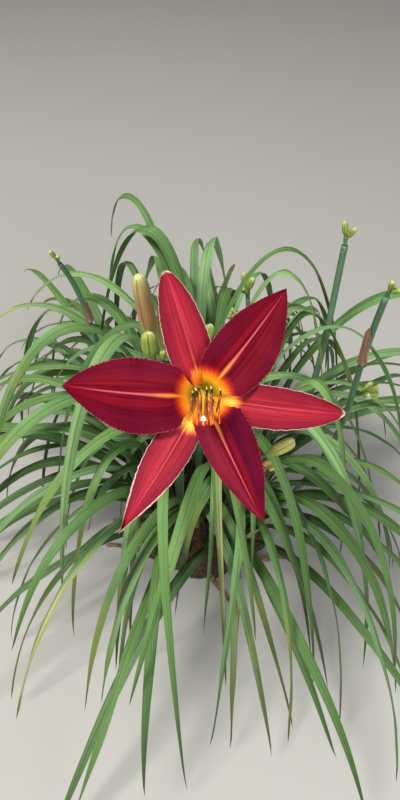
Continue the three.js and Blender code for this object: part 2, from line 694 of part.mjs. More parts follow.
function crownGeometry() {
  const { radius, height, sides } = CROWN;
  const outline = [[0, 0], [0.92, 0], [1, 0.3], [0.9, 0.8], [0, 1]];
  const dome = new THREE.LatheGeometry(
    outline.map(([r, z]) => new THREE.Vector2(r * radius, z * height)), sides,
  ).rotateX(Math.PI / 2);
  const roots = rootCurves.map((curve) => rod(
    curve, 3, ROOTS.sides, (t) => ROOTS.thickness * mix(0.9, 0.45, t) * 0.72,
  ));
  let crown = fuse([dome, ...roots]);
  fans.forEach((fan) => { crown = crown.subtract(toSolid(sheathGeometry(fan, GAP))); });
  const feet = [
    [SCAPE.foot, SCAPE.low, SCAPE.footRadius],
    ...OTHER_SCAPES.map(({ points, radii }) => [points[0], points[1], radii[0]]),
  ];
  feet.forEach(([foot, low, wide]) => {
    const start = vector(...foot);
    const way = vector(...low).sub(start).normalize();
    const line = new THREE.LineCurve3(
      start.clone().addScaledVector(way, -GAP), start.clone().addScaledVector(way, height + 10),
    );
    crown = crown.subtract(toSolid(rod(line, 1, 6, () => wide + 2.4)));
  });
  return toGeometry(crown);
}

add('crown', crownGeometry(), FINISH.crown);

// ------------------------------------------------------------------ leaves

scapeCurves.forEach((curve) => takeCurve(curve, 6));
rootCurves.forEach((curve) => takeCurve(curve, ROOTS.thickness));
bunches.forEach(({ foot, toward, size }) => takeCurve(new THREE.LineCurve3(
  vector(...foot), vector(...foot).addScaledVector(vector(...toward).normalize(), 2 * size),
), size));
BRACTS.forEach(({ on, from, to, radius }) => takeCurve(new THREE.LineCurve3(
  curveOf[on].getPoint(from), curveOf[on].getPoint(to),
), 1.5 * radius));

// One blade: a cubic Bezier midrib that rises steeply, arches at its rise and falls to its tip.
function blade({ foot, heading, reach, rise, tip, sway, width, roll }) {
  const along = vector(Math.cos(heading), Math.sin(heading), 0);
  const aside = vector(-along.y, along.x, 0);
  const at = (out, side, z) => vector(foot[0], foot[1], z)
    .addScaledVector(along, out).addScaledVector(aside, side);
  const handle = (rise - tip / 8 - foot[2] / 8) / 0.75;
  const curve = new THREE.CubicBezierCurve3(
    at(0, 0, foot[2]), at(0.1 * reach, 0.05 * sway, handle), at(0.72 * reach, 0.5 * sway, handle),
    at(reach, sway, tip),
  );
  return { curve, aside, width, roll };
}

// The width and the fold of a blade along its length.
const bladeWidth = (t) => mix(LEAF.foot, 1, smooth(t / 0.45)) * (1 - t ** 3.2) ** 0.8;
const bladeFold = (t) => mix(0.7, 0.22, smooth(t / 0.6));

// The left edge, midrib and right edge of a blade at t, and the normal of its upper side.
function bladeRow({ curve, aside, width, roll }, t) {
  const middle = curve.getPoint(t);
  const tangent = curve.getTangent(t);
  const flat = aside.clone().addScaledVector(tangent, -aside.dot(tangent)).normalize();
  const up = tangent.clone().cross(flat).multiplyScalar(-1);
  const turn = roll * t;
  const across = flat.clone().multiplyScalar(Math.cos(turn)).addScaledVector(up, Math.sin(turn));
  const normal = up.clone().multiplyScalar(Math.cos(turn)).addScaledVector(flat, -Math.sin(turn));
  const half = width * bladeWidth(t);
  const raise = half * bladeFold(t);
  return {
    middle,
    normal,
    left: middle.clone().addScaledVector(across, -half).addScaledVector(normal, raise),
    right: middle.clone().addScaledVector(across, half).addScaledVector(normal, raise),
  };
}

function bladeGeometry(shape) {
  const rings = LEAF.rows.slice(0, -1).map((t) => {
    const { middle, normal, left, right } = bladeRow(shape, t);
    return [
      left, middle.clone().addScaledVector(normal, LEAF.keel),
      right, middle.clone().addScaledVector(normal, -LEAF.keel),
    ];
  });
  rings.push([shape.curve.getPoint(1)]);
  return loft(rings);
}

// Points all over a blade's facets, close enough together for the grid of taken space.
function bladePoints(shape) {
  const points = [];
  const rows = LEAF.rows.map((t) => bladeRow(shape, t));
  for (let i = 0; i + 1 < rows.length; i += 1) {
    const [a, b] = [rows[i], rows[i + 1]];
    const steps = Math.ceil(a.middle.distanceTo(b.middle) / SPACE.cell);
    for (let j = 0; j < steps; j += 1) {
      const middle = a.middle.clone().lerp(b.middle, j / steps);
      const left = a.left.clone().lerp(b.left, j / steps);
      const right = a.right.clone().lerp(b.right, j / steps);
      points.push(middle);
      for (let k = 1; k <= 4; k += 1) {
        points.push(middle.clone().lerp(left, k / 4), middle.clone().lerp(right, k / 4));
      }
    }
  }
  points.push(rows.at(-1).middle);
  return points;
}

// The blades of a fan come out alternately on its two sides, the outer ones low and wide, the
// inner ones high and steep. Each is drawn anew until it stands clear of all that is placed, and
// later draws spread more, lean outward more, and are shorter and narrower.
function drawBlade(fan, index, rank, attempt) {
  const draw = randomStream(((SEED * 64 + index) * 64 + rank) * 128 + attempt);
  const late = attempt / FANS.tries;
  const inner = clamp((0.6 * rank) / (FANS.leaves - 1) + 0.75 * (1 - fan.outward), 0, 1);
  const side = rank % 2 ? 1 : -1;
  const spread = radians(LEAF.spread * (1 + 2 * late)) * (draw() - 0.5);
  const aim = fan.plane + (side > 0 ? 0 : Math.PI) + spread;
  const pull = 0.8 * fan.outward ** 2 + 2 * late;
  const heading = Math.atan2(
    Math.sin(aim) + pull * Math.sin(fan.around), Math.cos(aim) + pull * Math.cos(fan.around),
  );
  const offset = side * mix(0.62, 0.12, rank / (FANS.leaves - 1)) * SHEATH.long;
  const rise = mix(LEAF.rise[0], LEAF.rise[1], inner) * mix(0.82, 1.1, draw());
  return blade({
    foot: [
      fan.x + offset * Math.cos(fan.plane), fan.y + offset * Math.sin(fan.plane),
      SHEATH.bladeFoot,
    ],
    heading,
    reach: mix(LEAF.reach[1], LEAF.reach[0], inner) * mix(0.75, 1.1, draw()) * (1 - 0.3 * late),
    rise,
    tip: Math.max(12, rise * mix(-0.1, 0.8, draw())),
    sway: LEAF.sway * (draw() * 2 - 1),
    width: mix(LEAF.halfWidth[0], LEAF.halfWidth[1], draw()) * (1 - 0.2 * late),
    roll: radians(LEAF.roll) * (draw() * 2 - 1),
  });
}

function stands(points, fan, owner, near = LEAF.nearRoot) {
  return points.every((p) => {
    if (p.z < LEAF.floor || Math.hypot(p.x, p.y) > LEAF.limit) return false;
    const there = taken[cellOf(p)];
    if (there === 0) return true;
    if (there === owner && p.z < near) return true;
    return p.z < SHEATH.height && Math.hypot(p.x - fan.x, p.y - fan.y) < SHEATH.long;
  });
}

fans.forEach((fan, index) => {
  fan.blades = [];
  sheathPoints(fan).forEach((p) => take(p, index + 1));
});

function sheathPoints(fan) {
  const points = [];
  for (let z = CROWN.socketFloor; z < CROWN.socketFloor + SHEATH.height; z += 4) {
    for (let a = -0.8; a <= 0.81; a += 0.4) {
      const reach = a * SHEATH.long;
      points.push(vector(fan.x + reach * Math.cos(fan.plane), fan.y + reach * Math.sin(fan.plane), z));
    }
  }
  return points;
}

SET_LEAVES.forEach((leaf, order) => {
  const fan = fans[leaf.fan - 1];
  for (let attempt = 0; attempt < FANS.tries; attempt += 1) {
    const draw = randomStream(SEED * 4096 + order * 512 + attempt);
    const drift = attempt / FANS.tries;
    const shape = blade({
      ...leaf,
      foot: [fan.x, fan.y, SHEATH.bladeFoot],
      heading: radians(leaf.heading + 24 * drift * (draw() * 2 - 1)),
      rise: leaf.rise + 60 * drift * (draw() * 2 - 1),
      sway: leaf.sway + 60 * drift * (draw() * 2 - 1),
      width: leaf.halfWidth,
      roll: radians(leaf.roll + 30 * drift * (draw() * 2 - 1)),
    });
    const points = bladePoints(shape);
    if (stands(points, fan, leaf.fan, Infinity)) {
      points.forEach((p) => take(p, leaf.fan));
      fan.blades.push(shape);
      break;
    }
  }
});

fans.forEach((fan, index) => {
  for (let rank = FANS.leaves - 1; rank >= 0; rank -= 1) {
    for (let attempt = 0; attempt < FANS.tries; attempt += 1) {
      const shape = drawBlade(fan, index, rank, attempt);
      const points = bladePoints(shape);
      if (stands(points, fan, index + 1)) {
        points.forEach((p) => take(p, index + 1));
        fan.blades.push(shape);
        break;
      }
    }
  }
});

fans.forEach((fan, index) => {
  const parts = [sheathGeometry(fan, 0), ...fan.blades.map(bladeGeometry)];
  const name = `leaf_fan_${String(index + 1).padStart(2, '0')}`;
  add(name, toGeometry(fuse(parts)), FINISH.leaf);
});

export default plant;
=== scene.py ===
"""Daylily clump: the fine surfaces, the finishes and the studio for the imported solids.

Lengths are in millimetres until a mesh is made, and then in metres. The bloom has a frame of its
own: x to the right, y up across its face, z out of its throat.
"""

import bpy
import numpy as np
from bpy.props import FloatProperty, FloatVectorProperty, IntProperty, PointerProperty
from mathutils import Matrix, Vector


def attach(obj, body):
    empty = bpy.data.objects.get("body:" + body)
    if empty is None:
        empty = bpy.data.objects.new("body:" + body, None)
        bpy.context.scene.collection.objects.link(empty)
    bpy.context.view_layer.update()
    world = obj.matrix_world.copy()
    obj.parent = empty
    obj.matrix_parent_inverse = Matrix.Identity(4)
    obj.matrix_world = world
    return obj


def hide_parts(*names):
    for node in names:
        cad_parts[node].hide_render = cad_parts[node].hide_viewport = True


bl_info = {
    "name": "Daylily Clump",
    "version": (1, 0, 0),
    "blender": (4, 5, 0),
    "location": "3D Viewport > Sidebar > Daylily",
    "description": "Builds a flowering daylily clump over its packed solids",
    "category": "Object",
}

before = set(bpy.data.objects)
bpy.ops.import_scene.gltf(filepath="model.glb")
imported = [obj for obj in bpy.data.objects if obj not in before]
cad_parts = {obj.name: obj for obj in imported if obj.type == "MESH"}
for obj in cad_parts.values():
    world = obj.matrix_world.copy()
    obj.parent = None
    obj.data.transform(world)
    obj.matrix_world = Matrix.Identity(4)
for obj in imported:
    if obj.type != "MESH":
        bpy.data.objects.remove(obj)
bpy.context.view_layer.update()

# ---------------------------------------------------------------- named sizes of the plant

class Named:
    """Values by name, such as the sizes of a part or the colours of a finish."""

    def __init__(self, **values):
        self.__dict__.update(values)


MM = 0.001
GAP = 0.3  # clearance between neighbouring pieces
SEED = 5  # of the draws that shape the plant
TONE_SEEDS = Named(sheath=900, blade=7000)  # of the draws that shade its leaves
FULL_TURN = 2 * np.pi
GOLDEN_ANGLE = 137.5  # from one fan or young bud to the next, degrees

CROWN = Named(radius=108, height=34, socket_floor=12)
ROOTS = Named(count=7, reach=55, thickness=6.5)
FANS = Named(count=16, ring=90, leaves=12, tries=300)  # leaves drawn for each, tries for each leaf
# long and short are half the widths of a sheath's flattened section.
SHEATH = Named(long=13, short=8, height=72, taper=0.72, blade_foot=37)
LEAF = Named(
    rows=(0, 0.25, 0.43, 0.6, 0.79, 1),  # of the flat facets that leaves are kept apart by
    half_width=(5.5, 8.5),  # narrowest and widest leaf
    foot=0.15,  # width where it leaves its fan, as a share of its full width
    reach=(240, 400),  # inner and outer leaves, in plan
    rise=(190, 450),  # outer and inner leaves, height of the arch
    sway=150,  # most that a tip wanders to one side
    roll=50,  # most that a blade turns about its midrib, degrees
    spread=120,  # of the headings on each side of a fan, degrees
    limit=470,  # that no leaf grows beyond, in plan
    scape_room=6,  # round the middle of a scape, without leaves
    floor=3,  # the lowest that a leaf hangs
    near_root=200,  # below this height the blades of one fan may touch
)
# Leaves of settled shape: fan, heading, reach, rise, height of the tip, sway, half width, roll.
SET_LEAVES = (
    (13, -90, 60, 390, 370, 0, 11, 0),
    (16, -131, 139, 282, 60, 11, 9.5, -20),
    (16, -24, 290, 250, 90, 0, 8, 0),
    (16, -52, 280, 290, 60, 20, 8.5, 10),
    (11, -45, 150, 388, 90, 0, 8, 15),
    (11, -8, 340, 330, 140, 20, 8, 12),
    (14, 14, 320, 390, 220, -20, 7.5, -12),
    (1, -6, 145, 470, 250, 0, 7, 20),
    (2, -6, 283, 341, 70, 0, 7, 0),
    (6, 152, 380, 305, 193, 1, 6, -8),
    (12, 155, 272, 227, 151, -7, 6.5, 0),
    (3, 168, 228, 360, 262, -5, 6, 10),
    (5, -177, 175, 257, 30, -14, 7, 8),
    (13, -147, 129, 286, 210, 2, 7, -10),
    (5, -157, 89, 273, 107, -1, 6.5, 0),
    (10, -146, 296, 345, 92, 0, 7, 12),
    (13, 190, 290, 345, 190, 0, 7, 8),
    (2, 176, 315, 408, 200, -20, 7, -12),
    (1, 164, 236, 418, 364, 1, 6, 0),
    (15, 129, 400, 274, 218, -36, 6.5, 5),
    (14, 110, 208, 215, 351, -7, 6, 0),
    (9, 104, 260, 350, 60, 0, 6.5, -10),
    (10, 5, 286, 293, 317, 0, 6, 0),
)
# The most that the last tries drift from a settled shape.
DRIFT = Named(heading=24, rise=60, sway=60, roll=30)
BLOOM = Named(
    centre=(0, -285, 600),  # of the plane of the petal tips
    tilt=42,  # from facing straight up, degrees
    rim=-36,  # mouth of the perianth tube, behind that plane
    rim_radius=5.5,
    tube=32,  # its length
    floor=8,  # of its hollow, above its foot
    lean=(-15, 13),  # of the tube's foot, to the side and up
    lean_depth=(-20, 48),  # where the lean starts, and how deep it is full
)
# Each petal and sepal: heading, reach, half widths to its left and right, fold, sway, roll, and
# how sharply it widens from its base and narrows to its tip.
PETALS = {
    "petal_upper_right": (48.6, 75, (16.9, 20.5), 0.19, 4.8, 3.7, 0.81, 0.97),
    "petal_lower_right": (-67.8, 76.4, (18.3, 12.8), 0.28, 4.1, -6, 0.52, 0.88),
    "petal_left": (181.4, 78.3, (23.1, 20.8), 0.15, -8, 3.8, 0.97, 0.97),
}
SEPALS = {
    "sepal_top": (105.5, 76.5, (13.4, 12.5), 0.01, 2.1, -5.3, 0.45, 0.63),
    "sepal_right": (-11.4, 82.3, (11.9, 13), 0.03, 6, 3.3, 0.68, 0.74),
    "sepal_lower_left": (-119, 91, (10.7, 12.8), 0.09, -4.5, 9.2, 1.03, 1.26),
}
# What three tepals share: half width at the claw, layer at the base and outside, bend of the tip
# in degrees, height and number of the ruffles, share of the throat that they fill, and number of
# the fine crimps.
PETAL_FORM = Named(claw=2.3, layer=(0.9, 2.9), recurve=12, ruffle=1.9, waves=3.3, throat=0.76,
                   crimps=25)
SEPAL_FORM = Named(claw=2.4, layer=(-0.9, -6.5), recurve=20, ruffle=0.5, waves=1.4, throat=0.9,
                   crimps=9)
# Anthers: upper end, lower end, how far in front they hang, where their filament starts.
STAMENS = (
    ((-5.4, 2.8), (-7.2, -8.6), 4, 210),
    ((-4.1, 4.6), (-2.9, -12.6), 9, 150),
    ((2.1, 5.2), (0.6, -11.4), 6, 270),
    ((4.1, 5.4), (2.3, -10.2), 12.2, 90),
    ((5.3, -0.6), (3.4, -12.6), 7, 330),
    ((9.2, 4.4), (6.4, -9.2), 3, 30),
)
STIGMA = Named(place=(-0.4, -11.9, 16), radius=1.5)
STYLE_RADIUS = 0.7
SCAPE = Named(
    foot=(-6, -34, 12.3), low=(-2, -36, 230), high=(0, -120, 430), top=(-24, 20, -92),
    radii=(4.6, 3), knot=3.9, pedicel=2.2,
)
BRANCH = Named(
    at=0.84, low=(-4, -167, 470), high=(34, -251, 490), end=(40, -41.5, -64), radii=(2.6, 1.9),
    bud_at=0.93, withered_tip=(44, -47, -56), withered=2.1,
)
# Buds on the bloom's scape, in the bloom's frame: base, tip, radius.
BUDS = {
    "bud_large": ((-34, 33, -94), (-41, 77.5, -51), 6),
    "bud_tall": ((-25.5, 27, -108), (-29, 58, -84), 5),
    "bud_small_front": ((-34.5, 24, -78.5), (-36.5, 43, -68.5), 5.6),
    "bud_tiny": ((-28, 24.5, -79), (-26.6, 30.5, -73.5), 2.4),
    "bud_small_top": ((1, 37, -99), (5.5, 51, -92), 3.6),
    "bud_lower_right": ((40.8, -37.5, -61), (57.3, -27.5, -50), 4.1),
}
# The curve of each other scape, and its radius at its foot and its top.
OTHER_SCAPES = {
    "scape_left": (((-52, -36, 12.3), (-112, -65, 152), (-100, 2, 406), (-134, -33, 508)),
                   (4, 2.4)),
    "scape_right": (((62, -52, 12.3), (219, -6, 232), (146, -78, 329), (144, -130, 546)),
                    (4.2, 2.8)),
    "scape_upper_right": (((72, 12, 12.3), (162, 38, 212), (145, 24, 337), (151, 41, 479)),
                          (4.6, 3.6)),
    "scape_back": (((26, 33, 12.3), (30, 36, 150), (67, 46, 302), (54, 57, 396)), (4, 2.6)),
}
# Side twigs with young buds: the scape, where on it, direction, length, buds, size.
TWIGS = {
    "buds_right": ("scape_right", 0.7, (0.8, -0.1, 0.5), 4.5, 4, 12),
    "buds_back_low": ("scape_back", 0.9, (-0.8, -0.3, 0.5), 6, 3, 12),
}
TWIG_RADIUS = 1.6
# Bunches of young buds: foot, direction, buds, size.
BUNCHES = {
    "buds_back_top": ((54, 57.1, 396.4), (-0.05, 0.2, 0.97), 4, 15),
    "buds_left_top": ((-134.1, -33.1, 508.4), (-0.2, -0.2, 0.96), 2, 8),
    "buds_right_top": ((144, -130.1, 546.4), (0.1, -0.3, 0.95), 2, 9),
    "buds_upper_right_top": ((151, 41, 479.4), (0, 0.2, 0.98), 2, 12),
}
# Bracts: the scape, where each starts and ends on it, radius, the side it lies on.
BRACTS = {
    "bract_left": ("scape_left", 0.8, 0.86, 3.7, -30),
    "bract_right": ("scape_right", 0.84, 0.94, 4, -150),
}
# How fine the meshes are: rings along a piece, and points round it. The crown has its number of
# rings for each stretch of its outline.
FINE = Named(
    filament=(60, 12), anther=(46, 24), style=(70, 14), stigma=(20, 24), tube=48,
    bud=(70, 60), young_bud=(24, 24), young_stalk=(12, 16), bract=(48, 30),
    scape=(110, 20), branch=(60, 16), knot=(18, 20), pedicel=(30, 16), stalk=(16, 12),
    twig=(10, 12), withered=(30, 28), sheath=(26, 40), crown=(5, 128), root=(40, 18),
)
# The studio, in metres. Lights: place, size, share of the key light's power, colour.
LIGHTS = {
    "key": ((-1.8, -1.2, 4.4), 1.1, 1.0, (1.0, 0.98, 0.94)),
    "fill": ((1.2, -2.4, 2.2), 1.6, 0.26, (0.94, 0.97, 1.0)),
}
LIGHTS_AIM = (0, -0.15, 0.4)
SKY_COLOR = (0.95, 0.98, 1.0)
CAMERA_PLACE = (-0.0022, -0.5054, 0.8415)
FLOOR_REACH = 6.0


# ---------------------------------------------------------------- numbers and curves

def mix(a, b, t):
    """a where t is 0, b where t is 1."""
    return a + (b - a) * t


def smooth(x, low, high):
    """The smooth step 3t^2 - 2t^3, with t going from 0 to 1 as x goes from low to high."""
    t = np.clip((x - low) / (high - low), 0, 1)
    return t * t * (3 - 2 * t)


def hill(x, width):
    """1 where x is 0, and less on both sides by exp(-(x / width)^2)."""
    return np.exp(-(x / width) ** 2)


def steps(count):
    """Even numbers from 0 to 1."""
    return np.linspace(0, 1, count)


def angles(count):
    """Even angles round a ring, as one row."""
    return np.linspace(0, FULL_TURN, count, endpoint=False)[None]


def two_faces(u):
    """u across one face and back across the other, with 1 on the first face and 0 on the other."""
    return np.append(u, u[::-1])[None], np.repeat((1.0, 0.0), len(u))[None]


def stacked(*parts):
    """Coordinates, spread to one shape and stacked along a last axis."""
    return np.stack(np.broadcast_arrays(*parts), -1).astype(float)


def turned(x, y, angle):
    """x and y turned by an angle in radians."""
    c, s = np.cos(angle), np.sin(angle)
    return x * c - y * s, x * s + y * c


def unit(v):
    """v divided by its length along the last axis."""
    v = np.asarray(v, float)
    return v / np.linalg.norm(v, axis=-1, keepdims=True)


def random_stream(seed):
    """Even random numbers from 0 to 1 by the mulberry32 rule, as a function to call."""
    state = [seed & 0xFFFFFFFF]

    def draw():
        state[0] = (state[0] + 0x6D2B79F5) & 0xFFFFFFFF
        s = state[0]
        t = ((s ^ (s >> 15)) * (s | 1)) & 0xFFFFFFFF
        t ^= (t + (t ^ (t >> 7)) * (t | 61)) & 0xFFFFFFFF
        return ((t ^ (t >> 14)) & 0xFFFFFFFF) / 4294967296

    return draw


def bezier(points, t):
    """The cubic Bezier curve (1-t)^3 A + 3(1-t)^2 t B + 3(1-t) t^2 C + t^3 D."""
    a, b, c, d = np.asarray(points, float)
    t = np.asarray(t, float)[..., None]
    s = 1 - t
    return s * s * s * a + 3 * s * s * t * b + 3 * s * t * t * c + t * t * t * d


def thread_curve(points, t):
    """The centripetal Catmull-Rom curve through the points, at t from 0 to 1."""
    p = np.asarray(points, float)
    p = np.vstack([2 * p[0] - p[1], p, 2 * p[-1] - p[-2]])
    i = np.minimum((t * (len(p) - 3)).astype(int), len(p) - 4)
    w = (t * (len(p) - 3) - i)[:, None]
    d = [p[i + k + 1] - p[i + k] for k in range(3)]
    g = [np.linalg.norm(way, axis=1)[:, None] ** 0.5 for way in d]
    start, end = (
        (d[k] / g[k] - (d[k] + d[k + 1]) / (g[k] + g[k + 1]) + d[k + 1] / g[k + 1]) * g[1]
        for k in range(2)
    )
    return p[i + 1] + w * (start + w * (3 * d[1] - 2 * start - end + w * (start + end - 2 * d[1])))


def bend(p):
    """The throat and the tube lean aside behind the bloom's face, by the square of the depth.

    Below 1.3 times the full depth, the lean grows no more.
    """
    p, (start, full) = np.asarray(p, float), BLOOM.lean_depth
    return p + np.array([*BLOOM.lean, 0]) * np.clip((start - p[..., 2:]) / full, 0, 1.3) ** 2


def in_plant(p):
    """Points of the bloom's frame, turned by its tilt about x and moved to its centre."""
    x, y, z = np.moveaxis(np.asarray(p, float), -1, 0)
    return stacked(x, *turned(y, z, np.radians(BLOOM.tilt))) + BLOOM.centre


TUBE_FOOT = BLOOM.rim - BLOOM.tube
TUBE_FLOOR = TUBE_FOOT + BLOOM.floor
NODE = in_plant(SCAPE.top)
MAIN_SCAPE = (SCAPE.foot, SCAPE.low, SCAPE.high, NODE)
BRANCH_CURVE = (bezier(MAIN_SCAPE, BRANCH.at), BRANCH.low, BRANCH.high, in_plant(BRANCH.end))


# ---------------------------------------------------------------- skins and meshes

def frames(path):
    """Tangents of a path, and two normals made from the axis that it runs along least."""
    tangent = unit(np.gradient(path, axis=0))
    axis = np.eye(3)[np.argmin(np.abs(tangent).max(axis=0))]
    side = unit(np.cross(tangent, axis))
    return tangent, side, np.cross(tangent, side)


class Skin:
    """Closed surfaces gathered for one mesh, with a UV place and named values at each vertex."""

    def __init__(self):
        self.parts, self.count = [], 0

    def tube(self, grid, across, along, poles=(None, None), **values):
        """Adds rows of closed rings. Each end is a pole, or is closed by a strip over its ring.

        across and along are the UV places of the vertices. Where across falls from one ring
        point to the next by more than a half, the ring has wrapped, and 1 is added to it.
        """
        rows, ring = grid.shape[:2]
        points = grid.reshape(-1, 3)
        uv = stacked(across, along).reshape(-1, 2)
        values = {key: np.broadcast_to(v, (rows, ring)).ravel() for key, v in values.items()}
        k = np.arange(ring)
        sides = np.stack([k, (k + 1) % ring], -1)
        low = sides + np.arange(rows - 1)[:, None, None] * ring
        quads = [np.concatenate([low, low[..., ::-1] + ring], -1).reshape(-1, 4)]
        triangles = [np.zeros((0, 3), int)]
        for pole, first, order in zip(poles, (0, (rows - 1) * ring), (-1, 1)):
            rim = slice(first, first + ring)
            if pole is None:
                j = k[:ring // 2 - 1]
                strip = np.stack([j, j + 1, ring - 2 - j, ring - 1 - j], -1)
                quads.append(first + strip[:, ::order])
            else:
                triangles.append(np.insert(first + sides[:, ::order], 2, len(points), axis=1))
                points = np.vstack([points, pole])
                uv = np.vstack([uv, (uv[rim, 0].mean(), uv[first, 1])])
                values = {key: np.append(v, v[rim].mean()) for key, v in values.items()}
        quads, triangles = np.concatenate(quads), np.concatenate(triangles)
        corners = np.concatenate([quads[:, :3], quads[:, [0, 2, 3]], triangles])
        a, b, c = np.moveaxis(points[corners], 1, 0)
        if np.einsum("ij,ij->", a, np.cross(b, c)) < 0:
            quads, triangles = quads[:, ::-1], triangles[:, ::-1]
        places = []
        for faces in (quads, triangles):
            place = uv[faces]
            place[..., 0] += place[..., 0].max(axis=1, keepdims=True) - place[..., 0] > 0.5
            places.append(place.reshape(-1, 2))
        self.parts.append((points, quads + self.count, triangles + self.count, *places, values))
        self.count += len(points)
        return self

    def rod(self, path, radius, sides, flute=None, poles=(False, False), along=None, push=None,
            **values):
        """Adds a round section carried along a path: centre + radius (cos a side + sin a normal).

        flute(along, angle) is a factor on the radius, and push(along, angle) a shift in the
        path's direction. along is the place of each ring from 0 to 1. poles says which ends
        run to a point.
        """
        tangent, side, normal = (axis[:, None] for axis in frames(path))
        along = (steps(len(path)) if along is None else along)[:, None]
        angle = angles(sides)
        r = np.reshape(radius, (-1, 1)) * (flute(along, angle) if flute else 1)
        around = np.cos(angle)[..., None] * side + np.sin(angle)[..., None] * normal
        grid = path[:, None] + r[..., None] * around
        if push:
            grid += push(along, angle)[..., None] * tangent
        rows = slice(int(poles[0]), len(path) - int(poles[1]))
        ends = [point if pole else None for point, pole in zip(path[[0, -1]], poles)]
        return self.tube(grid[rows], angle / FULL_TURN, along[rows], ends, **values)

    def piece(self, name, material, slot):
        """Makes the mesh and its object, in metres, and lets it stand for the node of its name."""
        *arrays, values = zip(*self.parts)
        points, quads, triangles, quad_uv, triangle_uv = map(np.concatenate, arrays)
        sizes = np.repeat((4, 3), (len(quads), len(triangles)))
        mesh = bpy.data.meshes.new(name)
        mesh.vertices.add(len(points))
        mesh.vertices.foreach_set("co", (points * MM).ravel())
        mesh.loops.add(int(sizes.sum()))
        mesh.loops.foreach_set("vertex_index", np.append(quads, triangles).astype(np.int32))
        mesh.polygons.add(len(sizes))
        mesh.polygons.foreach_set("loop_start", (np.cumsum(sizes) - sizes).astype(np.int32))
        uv_map = mesh.uv_layers.new(name="UVMap")
        uv_map.data.foreach_set("uv", np.append(quad_uv, triangle_uv))
        for key in values[0]:
            layer = mesh.attributes.new(key, "FLOAT", "POINT")
            layer.data.foreach_set("value", np.concatenate([v[key] for v in values]))
        mesh.update(calc_edges=True)
        if mesh.validate():
            raise RuntimeError(f"{name} has faces that Blender had to mend")
        mesh.shade_smooth()
        mesh.materials.append(material)
        obj = bpy.data.objects.new(name + "_fine", mesh)
        bpy.context.scene.collection.objects.link(obj)
        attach(obj, "root")
        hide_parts(name)


def ball(centre, radius, count):
    """The path and the radii of a rod that makes a ball."""
    t = np.linspace(0, np.pi, count)
    return centre + stacked(0, 0, -radius * np.cos(t)), radius * np.sin(t)


# ---------------------------------------------------------------- petals and sepals

def midrib_slope(form, v):
    """The slope of a midrib, steep in the throat and flat outside it, in radians."""
    recurved = form.recurve * np.maximum(0, (v - 0.45) / 0.55) ** 1.5
    return np.radians(mix(14, 80, smooth(v, 0, 0.42)) + recurved)


def wrap(out):
    """How far a petal wraps round the throat: from 1 at 12 mm from its axis to 0 at 34 mm."""
    return np.clip((34 - out) / 22, 0, 1)


def petal_grid(form, petal, v, u, lift, crimp):
    """A point of a petal: v runs along it, u across it from -1 to 1, lift is along its normal.

    The midrib is the sum of short steps along its slope. Half the width is v^base (1-v)^tip,
    held in by its neighbours near the throat. The height over the midrib's surface is its
    layer, a ruffle |u|^2.5 sin(waves), its roll, its fold -|across|, and a fine crimp |u|^6
    that follows the edge.
    """
    heading, reach, widest, fold, sway, roll, base, tip = petal
    fine = steps(241)
    slopes = midrib_slope(form, (fine[1:] + fine[:-1]) / 2)
    ribs = [np.append(0, np.cumsum(way(slopes))) for way in (np.sin, np.cos)]
    scale = (reach - BLOOM.rim_radius) / ribs[0][-1]
    out_rib, forward_rib = (np.interp(v, fine, rib) * scale for rib in ribs)
    out_rib, forward_rib = BLOOM.rim_radius + out_rib, BLOOM.rim + 3 * GAP + forward_rib
    slope = midrib_slope(form, v)
    peak = base / (base + tip)
    leafy = (v / peak) ** base * ((1 - v) / (1 - peak)) ** tip * np.where(u > 0, *widest)
    half = form.claw * (1 - v) ** 2 + leafy * (1 - 0.12 * (1 - v) ** 2)
    layer = mix(*form.layer, smooth(v, 0, 0.4))
    bare = out_rib - layer * np.cos(slope)
    room = bare * mix(1.4, form.throat, wrap(bare))
    edge = np.abs(u) ** 6 * smooth(v, 0.12, 0.32) * smooth(v, 1, 0.94)
    across = u * np.minimum(half, room) * (1 + 0.022 * crimp[1] * edge)
    wave = np.sin(FULL_TURN * form.waves * v + np.where(u < 0, 2, 0))
    ruffle = form.ruffle * np.abs(u) ** 2.5 * smooth(v, 0.18, 0.48) * wave
    turn = (np.sin(np.radians(roll)) * across - fold * np.abs(across)) * smooth(v, 0.2, 0.5)
    height = layer + ruffle + turn + lift + crimp[0] * edge
    out = out_rib - height * np.cos(slope)
    round_throat = turned(out, 0, across / np.maximum(out, 3))
    x, y = (mix(flat, bent, wrap(out)) for flat, bent in zip((out, across), round_throat))
    x, y = turned(x, y + sway * v * v, np.radians(heading))
    return bend(stacked(x, y, forward_rib + height * np.sin(slope)))


def crimps(v, u, strength, count, phase):
    """Uneven small waves along an edge: two sines whose phase wanders, one set for each side."""
    def wave(number, shift):
        return np.sin(FULL_TURN * number * v + shift)

    side = np.where(u < 0, 1.7, 0) + phase
    wander = 2.6 * wave(2.3, side) + 1.1 * wave(5.1, 2 * side)
    strength = strength * (0.6 + 0.5 * wave(3.7, 5 * side) * wave(1.3, 0))
    first, second = wave(count, wander + side), wave(count * 1.63, 3 * side - wander)
    return strength * (0.7 * first + 0.4 * second), 0.6 * second + 0.5 * np.sin(wander * 2)


